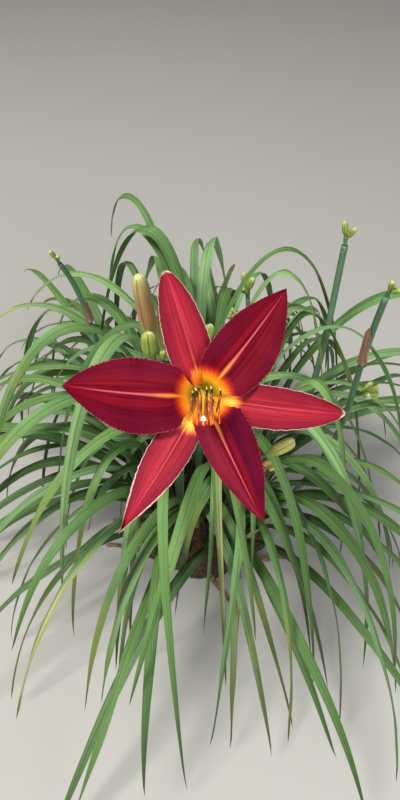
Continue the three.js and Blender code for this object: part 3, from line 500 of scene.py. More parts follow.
def petal_skin(form, petal, rows, columns, crimp, phase, curl, marks):
    """Upper and lower face of one petal on a grid of v and u, closed along its edges.

    curl lifts the two edges towards the tip by curl |u|^3 v^4, as drying margins do. marks are
    the shares of gold at its base and of violet on its blade.
    """
    v = steps(rows + 1)[:-1, None]
    even = np.linspace(-1, 1, columns + 1)
    u, face = two_faces(mix(np.sin(even * np.pi / 2), even, 0.6))
    thin = 0.3 * (1 - 0.55 * np.abs(u) ** 6)
    groove = -0.55 * hill(u, 0.07) * smooth(v, 0.1, 0.3) * (1 - v)
    lift = (2 * face - 1) * thin + groove + curl * np.abs(u) ** 3 * v ** 4
    grid = petal_grid(form, petal, v, u, lift, crimps(v, u, crimp, form.crimps, phase))
    tip = petal_grid(form, petal, 1.0, 0.0, 0, (0, 0))
    out = np.hypot(grid[..., 0], grid[..., 1]) / 100
    return Skin().tube(in_plant(grid), 0.5 + 0.5 * u, v, (None, in_plant(tip)),
                       out=out, face=face, tone=phase % 1, gold=marks[0], violet=marks[1])


# ---------------------------------------------------------------- stamens, tube and pistil

def thread_path(start, end, count):
    """A thread from the tube's floor, out of the throat, sinking and turning up to its end."""
    start, (x, _, z) = (*start, TUBE_FLOOR + GAP), end
    points = [start, (*start[:2], -32), (x, -12, -11 + z * 0.3), (x, -14.8, z - 3), end]
    return in_plant(bend(thread_curve(points, steps(count))))


def stamen_skins(stamen, number):
    """The filament's rod and the anther: two lobes round a line, radius ~ sin(pi t)^0.4."""
    top, bottom, front, start = stamen
    top, bottom = np.array([*top, front]), np.array([*bottom, front])
    count, sides = FINE.filament
    end = mix(top, bottom, 0.3) - (0, 0, 1.5)
    path = thread_path(turned(2, 0, np.radians(start)), end, count)
    filament = Skin().rod(path, mix(0.7, 0.4, steps(count)), sides)
    count, sides = FINE.anther
    t = steps(count)
    line = mix(top, bottom, t[:, None])
    line[:, 0] += 0.5 * np.sin(np.pi * t) * (-1 if number % 2 else 1) - 0.9 * hill(t, 0.09)
    line[:, 2] += 0.6 * np.sin(np.pi * t)
    body = 0.95 * np.sin(np.pi * np.clip(t, 0.002, 0.998)) ** 0.4
    grain = lambda s, a: (1 + 0.3 * np.cos(2 * a) - 0.1 * hill(np.sin(a), 0.25)
                          + 0.03 * np.sin(61 * s + 5 * a) + 0.02 * np.sin(97 * s - 3 * a))
    return filament, Skin().rod(in_plant(line), body, sides, grain, (True, True))


def pistil_skin():
    """The style's rod and the stigma, a small knob with three soft lobes."""
    count, sides = FINE.style
    skin = Skin().rod(thread_path((0, 0), STIGMA.place, count), STYLE_RADIUS, sides, knob=0.0)
    count, sides = FINE.stigma
    line, radius = ball(np.add(STIGMA.place, (0, 0, 0.2)), STIGMA.radius, count)
    lobes = lambda s, a: 1 + 0.12 * np.cos(3 * a)
    return skin.rod(in_plant(line), radius, sides, lobes, (True, True), knob=1.0)


def tube_skin():
    """The perianth tube: its outline of radius and depth, turned round the leaning axis."""
    rim, foot, floor = BLOOM.rim, TUBE_FOOT, TUBE_FLOOR
    outline = np.array([
        (0.4, foot), (2.6, foot), (3.1, foot + 2), (3.6, foot + 5), (4.1, foot + 11),
        (4.6, foot + 18), (5.7, foot + 25), (7.1, rim - 0.6), (7.3, rim - 0.1),
        (6.2, rim), (4, rim), (3.6, foot + 16), (3, floor), (0.4, floor),
    ])
    r, z = outline.T[..., None]
    a = angles(FINE.tube)
    r = r * (1 + 0.03 * np.cos(6 * a) * (r > 3.05))
    grid = in_plant(bend(stacked(*turned(r, 0, a), z)))
    poles = in_plant(bend([(0, 0, foot), (0, 0, floor)]))
    return Skin().tube(grid, a / FULL_TURN, steps(len(outline))[:, None], poles)


# ---------------------------------------------------------------- scapes, buds and bracts

def bud_rod(skin, base, tip, radius, fine, tone):
    """A bud: a club, slim at its foot and blunt at its end, of three folded tepals.

    The radius swells from 0.4 to 1 by a smooth step as t goes from 0 to 0.45, and past the
    middle it closes by sqrt(1 - (2t - 1)^4.5). It has three ridges with seams between them. The
    ridges end in points that stand past the middle of the tip.
    """
    t = 1 - (1 - steps(fine[0] + 1)) ** 1.5
    swell = mix(0.4, 1, smooth(t, 0, 0.45)) * np.sqrt(1 - np.clip(2 * t - 1, 0, 1) ** 4.5)
    ridged = lambda s, a: (1 + 0.07 * np.cos(3 * a)
                           - 0.08 * hill(np.cos(1.5 * a), 0.13) * smooth(s, 0, 0.15)
                           + 0.008 * np.cos(24 * a + 2 * s))
    points = lambda s, a: 0.14 * radius * (np.cos(3 * a) - 1) * smooth(s, 0.93, 1)
    skin.rod(mix(base, tip, t[:, None]), radius * swell, fine[1], ridged, (False, True), t, points,
             tone=tone, kind=1.0)


def bunch_skin(foot, toward, buds, size, tone):
    """A short stalk with young buds round it, each the golden angle on from the last."""
    axis = unit(toward)
    aside = unit(np.cross(axis, (0, 1, 0.3)))
    count, sides = FINE.young_stalk
    t = steps(count)
    path = foot + axis * size * 0.8 * t[:, None]
    skin = Skin().rod(path, size * mix(0.16, 0.22, t), sides, tone=tone, kind=0.0)
    for i in range(buds):
        lean, turn = np.radians(12 + 46 * i / buds), np.radians(GOLDEN_ANGLE * i)
        out = aside * np.cos(turn) + np.cross(axis, aside) * np.sin(turn)
        way = axis * np.cos(lean) + out * np.sin(lean)
        start = foot + axis * size * (0.7 - 0.08 * i)
        end = start + way * size * (1.5 - 0.11 * i)
        bud_rod(skin, start, end, size * 0.27, FINE.young_bud, tone + 0.13 * i)
    return skin


def bract_skin(scape, start, end, radius, facing):
    """A pointed half sleeve round a scape: a rippled, ragged strip whose sides close in upward."""
    curve = OTHER_SCAPES[scape][0]
    up = unit(bezier(curve, end) - bezier(curve, start))
    front = np.array([*turned(1, 0, np.radians(facing)), 0])
    front = unit(front - front.dot(up) * up)
    rows, columns = FINE.bract
    t = steps(rows + 1)[:-1, None]
    u, face = two_faces(np.linspace(-1, 1, columns + 1))
    ragged = 1 + (0.1 * np.sin(19 * t) + 0.07 * np.sin(43 * t)) * np.abs(u) ** 4
    a = u * np.radians(mix(105, 28, t)) * ragged * (1 - smooth(t, 0.85, 1) * 0.7)
    ripple = 0.4 * np.sin(5 * t + 2 * a) * t + 0.16 * np.sin(9 * a + 3 * t)
    r = radius * (1 + 0.15 * t) + mix(0.25, 0.7, face) + ripple + 0.5 * hill(t, 0.08) * face
    ways = zip(turned(r, 0, a), (front, np.cross(up, front)))
    grid = bezier(curve, mix(start, end, t)) + sum(part[..., None] * way for part, way in ways)
    tip = bezier(curve, end) + front * radius * 1.3
    return Skin().tube(grid, 0.5 + 0.5 * u, t, (None, tip))


def stem_flute(s, a):
    """Fine ribs along a stem, and a soft swelling at even joints."""
    return 1 + 0.018 * np.cos(9 * a) + 0.05 * hill(s * 5 % 1 - 0.5, 0.03)


def stem(skin, curve, radii, fine, tone, flute=None, poles=(True, False)):
    """A rod on a Bezier curve, with a radius that goes from the first to the second."""
    t = steps(fine[0])
    return skin.rod(bezier(curve, t), mix(*radii, t), fine[1], flute, poles, tone=tone)


def main_scape_skin():
    """The scape, its side branch, its knot, the pedicel and the buds' stalks.

    A stalk leaves its carrier towards its bud, and meets it along the bud's own axis.
    """
    tone = 0.45
    skin = stem(Skin(), MAIN_SCAPE, SCAPE.radii, FINE.scape, tone, stem_flute, (False, False))
    stem(skin, BRANCH_CURVE, BRANCH.radii, FINE.branch, tone, stem_flute)
    count, sides = FINE.knot
    knobbly = lambda s, a: 1 + 0.05 * np.cos(5 * a)
    skin.rod(*ball(NODE, SCAPE.knot, count), sides, knobbly, (True, True), tone=tone)
    foot = bend([0, 0, TUBE_FOOT - GAP])
    pedicel = (NODE, in_plant((-20, 17, -84)), in_plant(foot - (0, 0, 9)), in_plant(foot))
    stem(skin, pedicel, [SCAPE.pedicel] * 2, FINE.pedicel, tone)
    for name, (base, tip, radius) in BUDS.items():
        base = in_plant(base)
        axis = unit(in_plant(tip) - base)
        start = bezier(BRANCH_CURVE, BRANCH.bud_at) if name == "bud_lower_right" else NODE
        end = base - GAP * axis
        before = end - 0.4 * np.linalg.norm(end - start) * axis
        curve = (start, mix(start, base, 0.4), before, end)
        stem(skin, curve, [radius * 0.28] * 2, FINE.stalk, tone)
    return skin


def other_scape_skin(name, tone):
    """A scape with the twigs that carry its side bunches."""
    curve, radii = OTHER_SCAPES[name]
    skin = stem(Skin(), curve, radii, FINE.scape, tone, stem_flute, (False, False))
    for scape, at, toward, length, _, _ in TWIGS.values():
        if scape == name:
            path = bezier(curve, at) + unit(toward) * length * steps(FINE.twig[0])[:, None]
            skin.rod(path, TWIG_RADIUS, FINE.twig[1], tone=tone)
    return skin


def twig_foot(name):
    """The foot of a side bunch: just past the end of its twig."""
    scape, at, toward, length, _, _ = TWIGS[name]
    way = unit(toward)
    return bezier(OTHER_SCAPES[scape][0], at) + way * length + way * GAP


def withered_skin():
    """The foot of an older flower: a wrinkled stub, pinched and narrowing to its end."""
    base, tip = in_plant(BRANCH.end), in_plant(BRANCH.withered_tip)
    t = steps(FINE.withered[0])
    path = mix(mix(base, tip, 0.18), tip, t[:, None])
    radius = BRANCH.withered * (1 - 0.5 * t) * (1 + 0.25 * np.sin(9 * t))
    wrinkled = lambda s, a: 1 + 0.2 * np.cos(2 * a) + 0.08 * np.cos(7 * a + 6 * s)
    return Skin().rod(path, radius, FINE.withered[1], wrinkled, (False, True))


# ---------------------------------------------------------------- leaves

class Space:
    """A grid of cells that remembers which piece, by number, stands in or next to each."""

    CELL, LOW, COUNT = 2.5, (-510, -510, -9), (408, 408, 276)
    FIXED, SHARED = 250, 255

    def __init__(self):
        self.taken = np.zeros(np.prod(self.COUNT), np.uint8)
        self.weights = np.array([1, self.COUNT[0], self.COUNT[0] * self.COUNT[1]])
        self.around = (np.indices((3, 3, 3)).reshape(3, -1).T - 1) @ self.weights

    def cells(self, p):
        """The number of the cell that each point lies in."""
        return np.floor((p - self.LOW) / self.CELL).astype(int) @ self.weights

    def take(self, p, owner):
        """Marks the cells of points and all next to them, as shared where another has them."""
        cells = np.unique(self.cells(p)[:, None] + self.around)
        there = self.taken[cells]
        self.taken[cells] = np.where((there == 0) | (there == owner), owner, self.SHARED)

    def take_curve(self, curve, radius):
        """Takes six points round each step of about 4 mm along a curve, and its centre."""
        length = np.linalg.norm(np.diff(curve(steps(201)), axis=0), axis=1).sum()
        count = int(np.ceil(length / 4))
        centre = curve(np.arange(count + 1) / count)
        angle = np.pi * np.arange(6) / 3
        ring = radius * stacked(np.cos(angle), np.sin(angle), 0)
        self.take(np.concatenate([centre, (centre[:, None] + ring).reshape(-1, 3)]), self.FIXED)

    def stands(self, p, fan, near):
        """True where every point is clear, or lies in the blade's own fan or sheath."""
        if p[:, 2].min() < LEAF.floor or np.hypot(p[:, 0], p[:, 1]).max() > LEAF.limit:
            return False
        there = self.taken[self.cells(p)]
        clear = (there == 0) | ((there == fan.number) & (p[:, 2] < near))
        rooted = np.hypot(p[:, 0] - fan.x, p[:, 1] - fan.y) < SHEATH.long
        return bool(np.all(clear | ((p[:, 2] < SHEATH.height) & rooted)))

    def grow(self, fan, near, make):
        """Makes a blade anew, at most as often as is allowed, until it stands clear in its fan."""
        for attempt in range(FANS.tries):
            blade = make(attempt)
            points = blade_points(blade)
            if self.stands(points, fan, near):
                self.take(points, fan.number)
                fan.blades.append(blade)
                return


def make_blade(foot, heading, reach, rise, tip, sway, width, roll):
    """The control points and values of a blade whose midrib rises to its rise and falls."""
    along = np.array([*turned(1, 0, heading), 0])
    aside = np.array([-along[1], along[0], 0])
    foot = np.array([*foot, SHEATH.blade_foot], float)
    handle = (rise - tip / 8 - foot[2] / 8) / 0.75
    at = lambda out, side, z: np.array([foot[0], foot[1], z]) + along * out + aside * side
    curve = (at(0, 0, foot[2]), at(0.1 * reach, 0.05 * sway, handle),
             at(0.72 * reach, 0.5 * sway, handle), at(reach, sway, tip))
    return Named(curve=curve, aside=aside, width=width, roll=roll)


def blade_rows(blade, t):
    """Midrib, direction across, normal and half width of a blade at each t."""
    middle = bezier(blade.curve, t)
    ahead = bezier(blade.curve, np.minimum(t + 0.0001, 1))
    tangent = unit(ahead - bezier(blade.curve, np.maximum(t - 0.0001, 0)))
    flat = unit(blade.aside - (tangent @ blade.aside)[:, None] * tangent)
    up = -np.cross(tangent, flat)
    turn = (blade.roll * t)[:, None]
    across = flat * np.cos(turn) + up * np.sin(turn)
    normal = up * np.cos(turn) - flat * np.sin(turn)
    half = blade.width * mix(LEAF.foot, 1, smooth(t, 0, 0.45)) * (1 - t ** 3.2) ** 0.8
    return middle, across, normal, half


def blade_fold(t):
    """How much the edges stand up, as a share of the half width."""
    return mix(0.7, 0.22, smooth(t, 0, 0.6))


def blade_points(blade):
    """Points all over a blade's flat facets, about one cell apart along it."""
    t = np.array(LEAF.rows, float)
    middle, across, normal, half = blade_rows(blade, t)
    raised = normal * (half * blade_fold(t))[:, None]
    left = middle - across * half[:, None] + raised
    right = middle + across * half[:, None] + raised
    lengths = np.linalg.norm(np.diff(middle, axis=0), axis=1)
    counts = np.ceil(lengths / Space.CELL).astype(int)
    row = np.repeat(np.arange(len(counts)), counts)
    part = np.concatenate([np.arange(n) / n for n in counts])[:, None]
    m, l, r = (mix(a[row], a[row + 1], part) for a in (middle, left, right))
    out = [mix(m, side, k / 4) for side in (l, r) for k in range(1, 5)]
    return np.concatenate([m, *out, middle[-1:]])


def draw_blade(fan, rank, attempt):
    """A blade of a fan: outer ones low and wide, inner ones high and steep, by seeded draws.

    Later draws spread more, lean outward more, and are shorter and narrower.
    """
    draw = random_stream(((SEED * 64 + fan.number - 1) * 64 + rank) * 128 + attempt)
    late, share = attempt / FANS.tries, rank / (FANS.leaves - 1)
    inner = min(max(0.6 * share + 0.75 * (1 - fan.outward), 0), 1)
    side = 1 if rank % 2 else -1
    spread = np.radians(LEAF.spread * (1 + 2 * late)) * (draw() - 0.5)
    aim = fan.plane + (0 if side > 0 else np.pi) + spread
    pull = 0.8 * fan.outward ** 2 + 2 * late
    heading = np.arctan2(np.sin(aim) + pull * np.sin(fan.around),
                         np.cos(aim) + pull * np.cos(fan.around))
    x, y = turned(side * mix(0.62, 0.12, share) * SHEATH.long, 0, fan.plane)
    rise = mix(*LEAF.rise, inner) * mix(0.82, 1.1, draw())
    reach = mix(*LEAF.reach[::-1], inner) * mix(0.75, 1.1, draw()) * (1 - 0.3 * late)
    tip = max(12, rise * mix(-0.1, 0.8, draw()))
    sway = LEAF.sway * (draw() * 2 - 1)
    width = mix(*LEAF.half_width, draw()) * (1 - 0.2 * late)
    roll = np.radians(LEAF.roll) * (draw() * 2 - 1)
    return make_blade((fan.x + x, fan.y + y), heading, reach, rise, tip, sway, width, roll)


def settled_blade(fan, order, leaf, attempt):
    """A leaf of settled shape, which drifts from it the more, the later the attempt."""
    heading, reach, rise, tip, sway, width, roll = leaf
    draw = random_stream(SEED * 4096 + order * 512 + attempt)
    drift = lambda most: most * (attempt / FANS.tries) * (draw() * 2 - 1)
    heading, rise = heading + drift(DRIFT.heading), rise + drift(DRIFT.rise)
    sway, roll = sway + drift(DRIFT.sway), roll + drift(DRIFT.roll)
    return make_blade((fan.x, fan.y), np.radians(heading), reach, rise, tip, sway, width,
                      np.radians(roll))


def root_curves():
    """The control points of the fleshy root stubs round the rootstock."""
    curves = []
    for i in range(ROOTS.count):
        draw = random_stream(SEED * 1000 + i)
        heading = FULL_TURN * (i + 0.6 * draw()) / ROOTS.count
        reach = CROWN.radius + ROOTS.reach * mix(0.55, 1, draw())
        turn = heading + mix(-0.35, 0.35, draw())
        curves.append([(*turned(r, 0, angle), z) for r, angle, z in (
            (CROWN.radius * 0.8, heading, 14), (CROWN.radius * 1.15, heading, 13),
            (reach * 0.85, turn, 6), (reach, turn, 5),
        )])
    return curves


def new_fan(i):
    """A fan without blades: where it stands in the spiral of fans, and the plane it lies in."""
    around = np.radians(GOLDEN_ANGLE * i + 40)
    distance = FANS.ring * np.sqrt((i + 0.4) / FANS.count)
    plane = around + np.pi / 2 + np.radians(mix(-50, 50, random_stream(SEED * 100 + i)()))
    return Named(x=distance * np.cos(around), y=distance * np.sin(around), around=around,
                 outward=distance / FANS.ring, plane=plane, number=i + 1, blades=[])


def grow_fans():
    """All fans with their blades, each drawn anew until it stands clear of what is placed."""
    space = Space()
    scapes = (MAIN_SCAPE, BRANCH_CURVE, *(curve for curve, _ in OTHER_SCAPES.values()))
    for curves, radius in ((scapes, LEAF.scape_room), (root_curves(), ROOTS.thickness)):
        for curve in curves:
            space.take_curve(lambda t: bezier(curve, t), radius)
    bunches = [(foot, toward, size) for foot, toward, _, size in BUNCHES.values()]
    bunches += [(twig_foot(name), twig[2], twig[5]) for name, twig in TWIGS.items()]
    lines = [(np.array(foot, float), foot + unit(toward) * 2 * size, size)
             for foot, toward, size in bunches]
    for scape, start, end, radius, _ in BRACTS.values():
        lines.append((*(bezier(OTHER_SCAPES[scape][0], at) for at in (start, end)), 1.5 * radius))
    for start, end, radius in lines:
        space.take_curve(lambda t: mix(start, end, t[:, None]), radius)
    fans = [new_fan(i) for i in range(FANS.count)]
    for fan in fans:
        z = np.arange(CROWN.socket_floor, CROWN.socket_floor + SHEATH.height, 4)
        z, reach = np.meshgrid(z, SHEATH.long * (np.arange(5) * 0.4 - 0.8))
        x, y = turned(reach, 0, fan.plane)
        space.take(stacked(fan.x + x, fan.y + y, z).reshape(-1, 3), fan.number)
    for order, (number, *leaf) in enumerate(SET_LEAVES):
        fan = fans[number - 1]
        space.grow(fan, np.inf, lambda attempt: settled_blade(fan, order, leaf, attempt))
    for fan in fans:
        for rank in reversed(range(FANS.leaves)):
            space.grow(fan, LEAF.near_root, lambda attempt: draw_blade(fan, rank, attempt))
    return fans


def blade_skin(skin, blade, rows, columns, tone, wear):
    """One leaf: a folded strap with a rounded crease, ribs along it and gently waved edges.

    A point is middle + u half across + (fold |u| half + (wave |u|^3 + ribs)) normal, with the
    fold rounded at the midrib. The lower face lies a thickness below, with a keel.
    """
    t = steps(rows + 1)[:-1]
    middle, across, normal, half = (part[:, None] for part in blade_rows(blade, t))
    u, face = two_faces(np.linspace(-1, 1, columns + 1))
    t, phase = t[:, None], 40 * tone
    wave = np.sin(FULL_TURN * (3 + 3 * tone) * t + phase + np.where(u < 0, 2.1, 0))
    crease = half * blade_fold(t) * (np.sqrt(u * u + 0.004) - 0.063)
    ribs = 0.07 * np.cos(FULL_TURN * 4.5 * u) * (1 - np.abs(u))
    thin = mix(-0.4 - 0.55 * hill(u, 0.16), 0.25, face) * (1 - 0.6 * u ** 4)
    lift = crease + (0.9 * np.abs(u) ** 3 * wave + ribs) * smooth(t, 0, 0.2) + thin
    sway = 0.8 * np.sin(FULL_TURN * 2.3 * t + phase) * smooth(t, 0, 0.3)
    grid = middle + across * (u * half + sway)[..., None] + normal * lift[..., None]
    tip = bezier(blade.curve, 1.0)
    skin.tube(grid, 0.5 + 0.5 * u, t, (None, tip), face=face, tone=tone, wear=wear)


def fan_skin(fan, rows, columns):
    """A fan's sheath and all its blades in one skin.

    The sheath is a flattened round section that narrows upward, lapped like leek leaves.
    """
    t, a = steps(FINE.sheath[0])[:, None], angles(FINE.sheath[1])
    size = 0.94 * mix(1, SHEATH.taper, t) * (1 - 0.55 * smooth(t, 0.82, 1))
    size = size * (1 - 0.1 * (np.abs(np.cos(2.5 * a + 0.6)) < 0.12) - 0.02 * np.cos(17 * a))
    x, y = turned(SHEATH.long * size * np.cos(a), SHEATH.short * size * np.sin(a), fan.plane)
    z = CROWN.socket_floor + GAP + SHEATH.height * t
    index = fan.number - 1
    tone = random_stream(TONE_SEEDS.sheath + index)()
    skin = Skin().tube(stacked(fan.x + x, fan.y + y, z), a / FULL_TURN, t * 0.1,
                       face=0.0, tone=tone, wear=0.0)
    for i, blade in enumerate(fan.blades):
        draw = random_stream(TONE_SEEDS.blade + index * 40 + i)
        blade_skin(skin, blade, rows, columns, draw(), draw())
    return skin


def crown_skin():
    """The rootstock: a dome with ripples round it and along it, and the stubs of its roots."""
    outline = np.array([(0.02, 0.001), (0.5, 0.001), (0.92, 0.001), (0.99, 0.12), (1, 0.3),
                        (0.985, 0.5), (0.95, 0.68), (0.88, 0.82), (0.75, 0.9), (0.6, 0.95),
                        (0.4, 0.98), (0.2, 0.995), (0.02, 1)])
    between, sides = FINE.crown
    corners = np.arange(len(outline))
    at = np.linspace(0, corners[-1], between * corners[-1] + 1)
    r, z = (np.interp(at, corners, part)[:, None] for part in outline.T)
    a = angles(sides)
    lumps = (0.03 * np.sin(7 * a + 12 * r) + 0.025 * np.sin(16 * a - 9 * r)
             + 0.012 * np.sin(37 * a + 20 * z)) * smooth(z, 0, 0.15)
    rough = (0.05 * np.sin(42 * r * np.cos(a)) * np.sin(39 * r * np.sin(a))
             + 0.03 * np.sin(41 * r * np.cos(a)) * np.sin(37 * r * np.sin(a) + 1)) * (z > 0.6)
    radius = CROWN.radius * r * (0.98 + lumps * smooth(r, 0.3, 0.8))
    height = CROWN.height * (z - 0.06 * (z > 0.6) + rough)
    poles = [(0, 0, 0), (0, 0, CROWN.height * 0.94)]
    skin = Skin().tube(stacked(*turned(radius, 0, a), height), a / FULL_TURN, z, poles, root=0.0)
    knobbly = lambda s, b: 1 + 0.1 * np.sin(23 * s + 2 * b) + 0.06 * np.sin(51 * s - b)
    count, sides = FINE.root
    t = steps(count)
    for curve in root_curves():
        radius = ROOTS.thickness * mix(0.9, 0.45, t) * 0.72
        skin.rod(bezier(curve, t), radius, sides, knobbly, (True, True), root=1.0)
    return skin


# ---------------------------------------------------------------- node helpers

def rgb(red, green, blue):
    """A colour of 0 to 255 per channel as the shader's linear values."""
    c = np.array([red, green, blue]) / 255
    return tuple(float(x) for x in np.where(c <= 0.04045, c / 12.92, ((c + 0.055) / 1.055) ** 2.4))


def math_node(operation, swapped=False):
    """A method of Field that adds a Math node, with its two inputs swapped if asked."""
    def apply(self, other=0.0):
        values = (other, self) if swapped else (self, other)
        return self.wiring.add("Math", enumerate(values), operation=operation)
    return apply


class Field:
    """A number, place or colour in a node tree. Its arithmetic becomes Math nodes."""

    def __init__(self, wiring, socket):
        self.wiring, self.socket = wiring, socket

    __add__, __sub__, __mul__ = map(math_node, ("ADD", "SUBTRACT", "MULTIPLY"))
    __truediv__, __pow__, __abs__ = map(math_node, ("DIVIDE", "POWER", "ABSOLUTE"))
    __rsub__, pingpong = math_node("SUBTRACT", True), math_node("PINGPONG")
    sine, root = math_node("SINE"), math_node("SQRT")

    def step(self, low, high, start=0.0, end=1.0):
        """Smoothly from start to end as the number goes from low to high."""
        return self.wiring.add("MapRange", enumerate((self, low, high, start, end)),
                               interpolation_type="SMOOTHSTEP")


class Wiring:
    """The nodes of one tree. What it adds comes back as Fields."""

    def __init__(self, tree):
        self.tree = tree

    def put(self, socket, value):
        """Links a Field to a socket, or sets the number or colour of the socket itself."""
        if isinstance(value, Field):
            self.tree.links.new(value.socket, socket)
        else:
            socket.default_value = (*value, 1) if socket.type == "RGBA" else value

    def add(self, kind, inputs=(), output=0, **settings):
        """Adds a node, and gives one of its outputs, or all of them where output is None."""
        made = self.tree.nodes.new("ShaderNode" + kind)
        for key, value in settings.items():
            setattr(made, key, value)
        for key, value in dict(inputs).items():
            self.put(made.inputs[key], value)
        fields = [Field(self, socket) for socket in made.outputs]
        return fields if output is None else fields[output]

    def mix(self, share, a, b, blend="MIX"):
        """The colour a where the share is 0, and a blended with b where it is 1."""
        return self.add("Mix", {0: share, 6: a, 7: b}, 2, data_type="RGBA", blend_type=blend)

    def layers(self, color, *layers):
        """Lays colours over the first one, each by its share."""
        for share, tint in layers:
            color = self.mix(share, color, tint)
        return color

    def ramp(self, value, *stops):
        """A colour ramp with a stop for each pair of a place and a colour."""
        made = self.add("ValToRGB", {0: value})
        elements = made.socket.node.color_ramp.elements
        while len(elements) < len(stops):
            elements.new(0.5)
        for element, (place, color) in zip(elements, stops):
            element.position, element.color = place, (*color, 1)
        return made

    def noise(self, vector, scale, detail=3.0, roughness=0.55):
        """Soft noise at a place, mostly from 0.2 to 0.8."""
        return self.add("TexNoise", {"Vector": vector, "Scale": scale, "Detail": detail,
                                     "Roughness": roughness})

    def vector(self, *parts):
        """A place from its x, y and z."""
        return self.add("CombineXYZ", enumerate(parts))

    def split(self, vector):
        """The x, y and z of a place."""
        return self.add("SeparateXYZ", {0: vector}, None)

    def values(self, *names):
        """The named values of the mesh."""
        return [self.add("Attribute", (), 2, attribute_name=name) for name in names]

    def uv(self):
        """u and v of the piece's own UV map."""
        return self.split(self.add("UVMap", uv_map="UVMap"))[:2]

    def place(self):
        """The place by Object coordinates, which is the place in the plant."""
        return self.add("TexCoord", (), 3)

    def effect(self, name, **inputs):
        """The outputs of a shared group, which is made at its first use."""
        tree = bpy.data.node_groups.get(name) or new_effect(name)
        return self.add("Group", inputs, None, node_tree=tree)

    def streaks(self, u, v, count, breaks, seed):
        """Fine and broad lines along v, by their shared group."""
        return self.effect("lengthwise_streaks", U=u, V=v, Count=count, Breaks=breaks, Seed=seed)

    def mottle(self, size):
        """Blotches and specks, by their shared group."""
        return self.effect("mottling", Place=self.place(), Size=size)


def streaks(w, i):
    """Fine and broad uneven lines: noise that is stretched along V and fine across U."""
    across, along = i["U"] * i["Count"], i["V"] * i["Breaks"]
    fine = w.noise(w.vector(across, along, i["Seed"]), 1.0, 4.0, 0.6)
    broad = w.noise(w.vector(across * 0.23, along * 0.6, i["Seed"] + 7.0), 1.0, 2.0, 0.5)
    return fine.step(0.32, 0.68), broad.step(0.3, 0.7)


def ribs(w, i):
    """Even ribs across U, softened by noise: a sine of Count waves from edge to edge."""
    shake = w.noise(w.vector(i["U"] * 3.0, i["V"] * 6.0, i["Seed"]), 1.0, 2.0)
    return (((i["U"] * i["Count"] + shake * 0.7) * FULL_TURN).sine() * 0.5 + 0.5,)


def mottling(w, i):
    """Soft blotches and small specks from the place in the plant."""
    soft = w.noise(i["Place"], i["Size"], 3.0, 0.6)
    specks = w.noise(i["Place"], i["Size"] * 9.0, 2.0, 0.5)
    return soft.step(0.34, 0.68), specks.step(0.66, 0.76)


# Shared groups: how each is wired, its inputs and its outputs.
EFFECTS = {
    "lengthwise_streaks": (streaks, ("U", "V", "Count", "Breaks", "Seed"), ("Fine", "Broad")),
    "parallel_ribs": (ribs, ("U", "V", "Count", "Seed"), ("Rib",)),
    "mottling": (mottling, ("Place", "Size"), ("Blotch", "Speck")),
}


def new_effect(name):
    """Makes a shared group with named sockets, numbers all of them but a place."""
    wire, inputs, outputs = EFFECTS[name]
    tree = bpy.data.node_groups.new(name, "ShaderNodeTree")
    for side, keys in (("INPUT", inputs), ("OUTPUT", outputs)):
        for key in keys:
            kind = "NodeSocketVector" if key == "Place" else "NodeSocketFloat"
            tree.interface.new_socket(name=key, in_out=side, socket_type=kind)
    w = Wiring(tree)
    start, end = tree.nodes.new("NodeGroupInput"), tree.nodes.new("NodeGroupOutput")
    made = wire(w, {key: Field(w, start.outputs[key]) for key in inputs})
    for key, field in zip(outputs, made):
        w.put(end.inputs[key], field)
    return tree


class Finish(Wiring):
    """A new material and the wiring of its tree."""

    def __init__(self, name):
        self.material = bpy.data.materials.new(name)
        self.material.use_nodes = True
        super().__init__(self.material.node_tree)

    def done(self, color, roughness, height=None, strength=0.0, depth=0.0, **more):
        """Feeds the Principled shader, by a Bump node where there is a height."""
        inputs = {"Base Color": color, "Roughness": roughness}
        inputs.update((key.replace("_", " "), value) for key, value in more.items())
        if height is not None:
            inputs["Normal"] = self.add(
                "Bump", {"Height": height, "Strength": strength, "Distance": depth})
        for key, value in inputs.items():
            self.put(self.tree.nodes["Principled BSDF"].inputs[key], value)
        return self.material


# ---------------------------------------------------------------- finishes

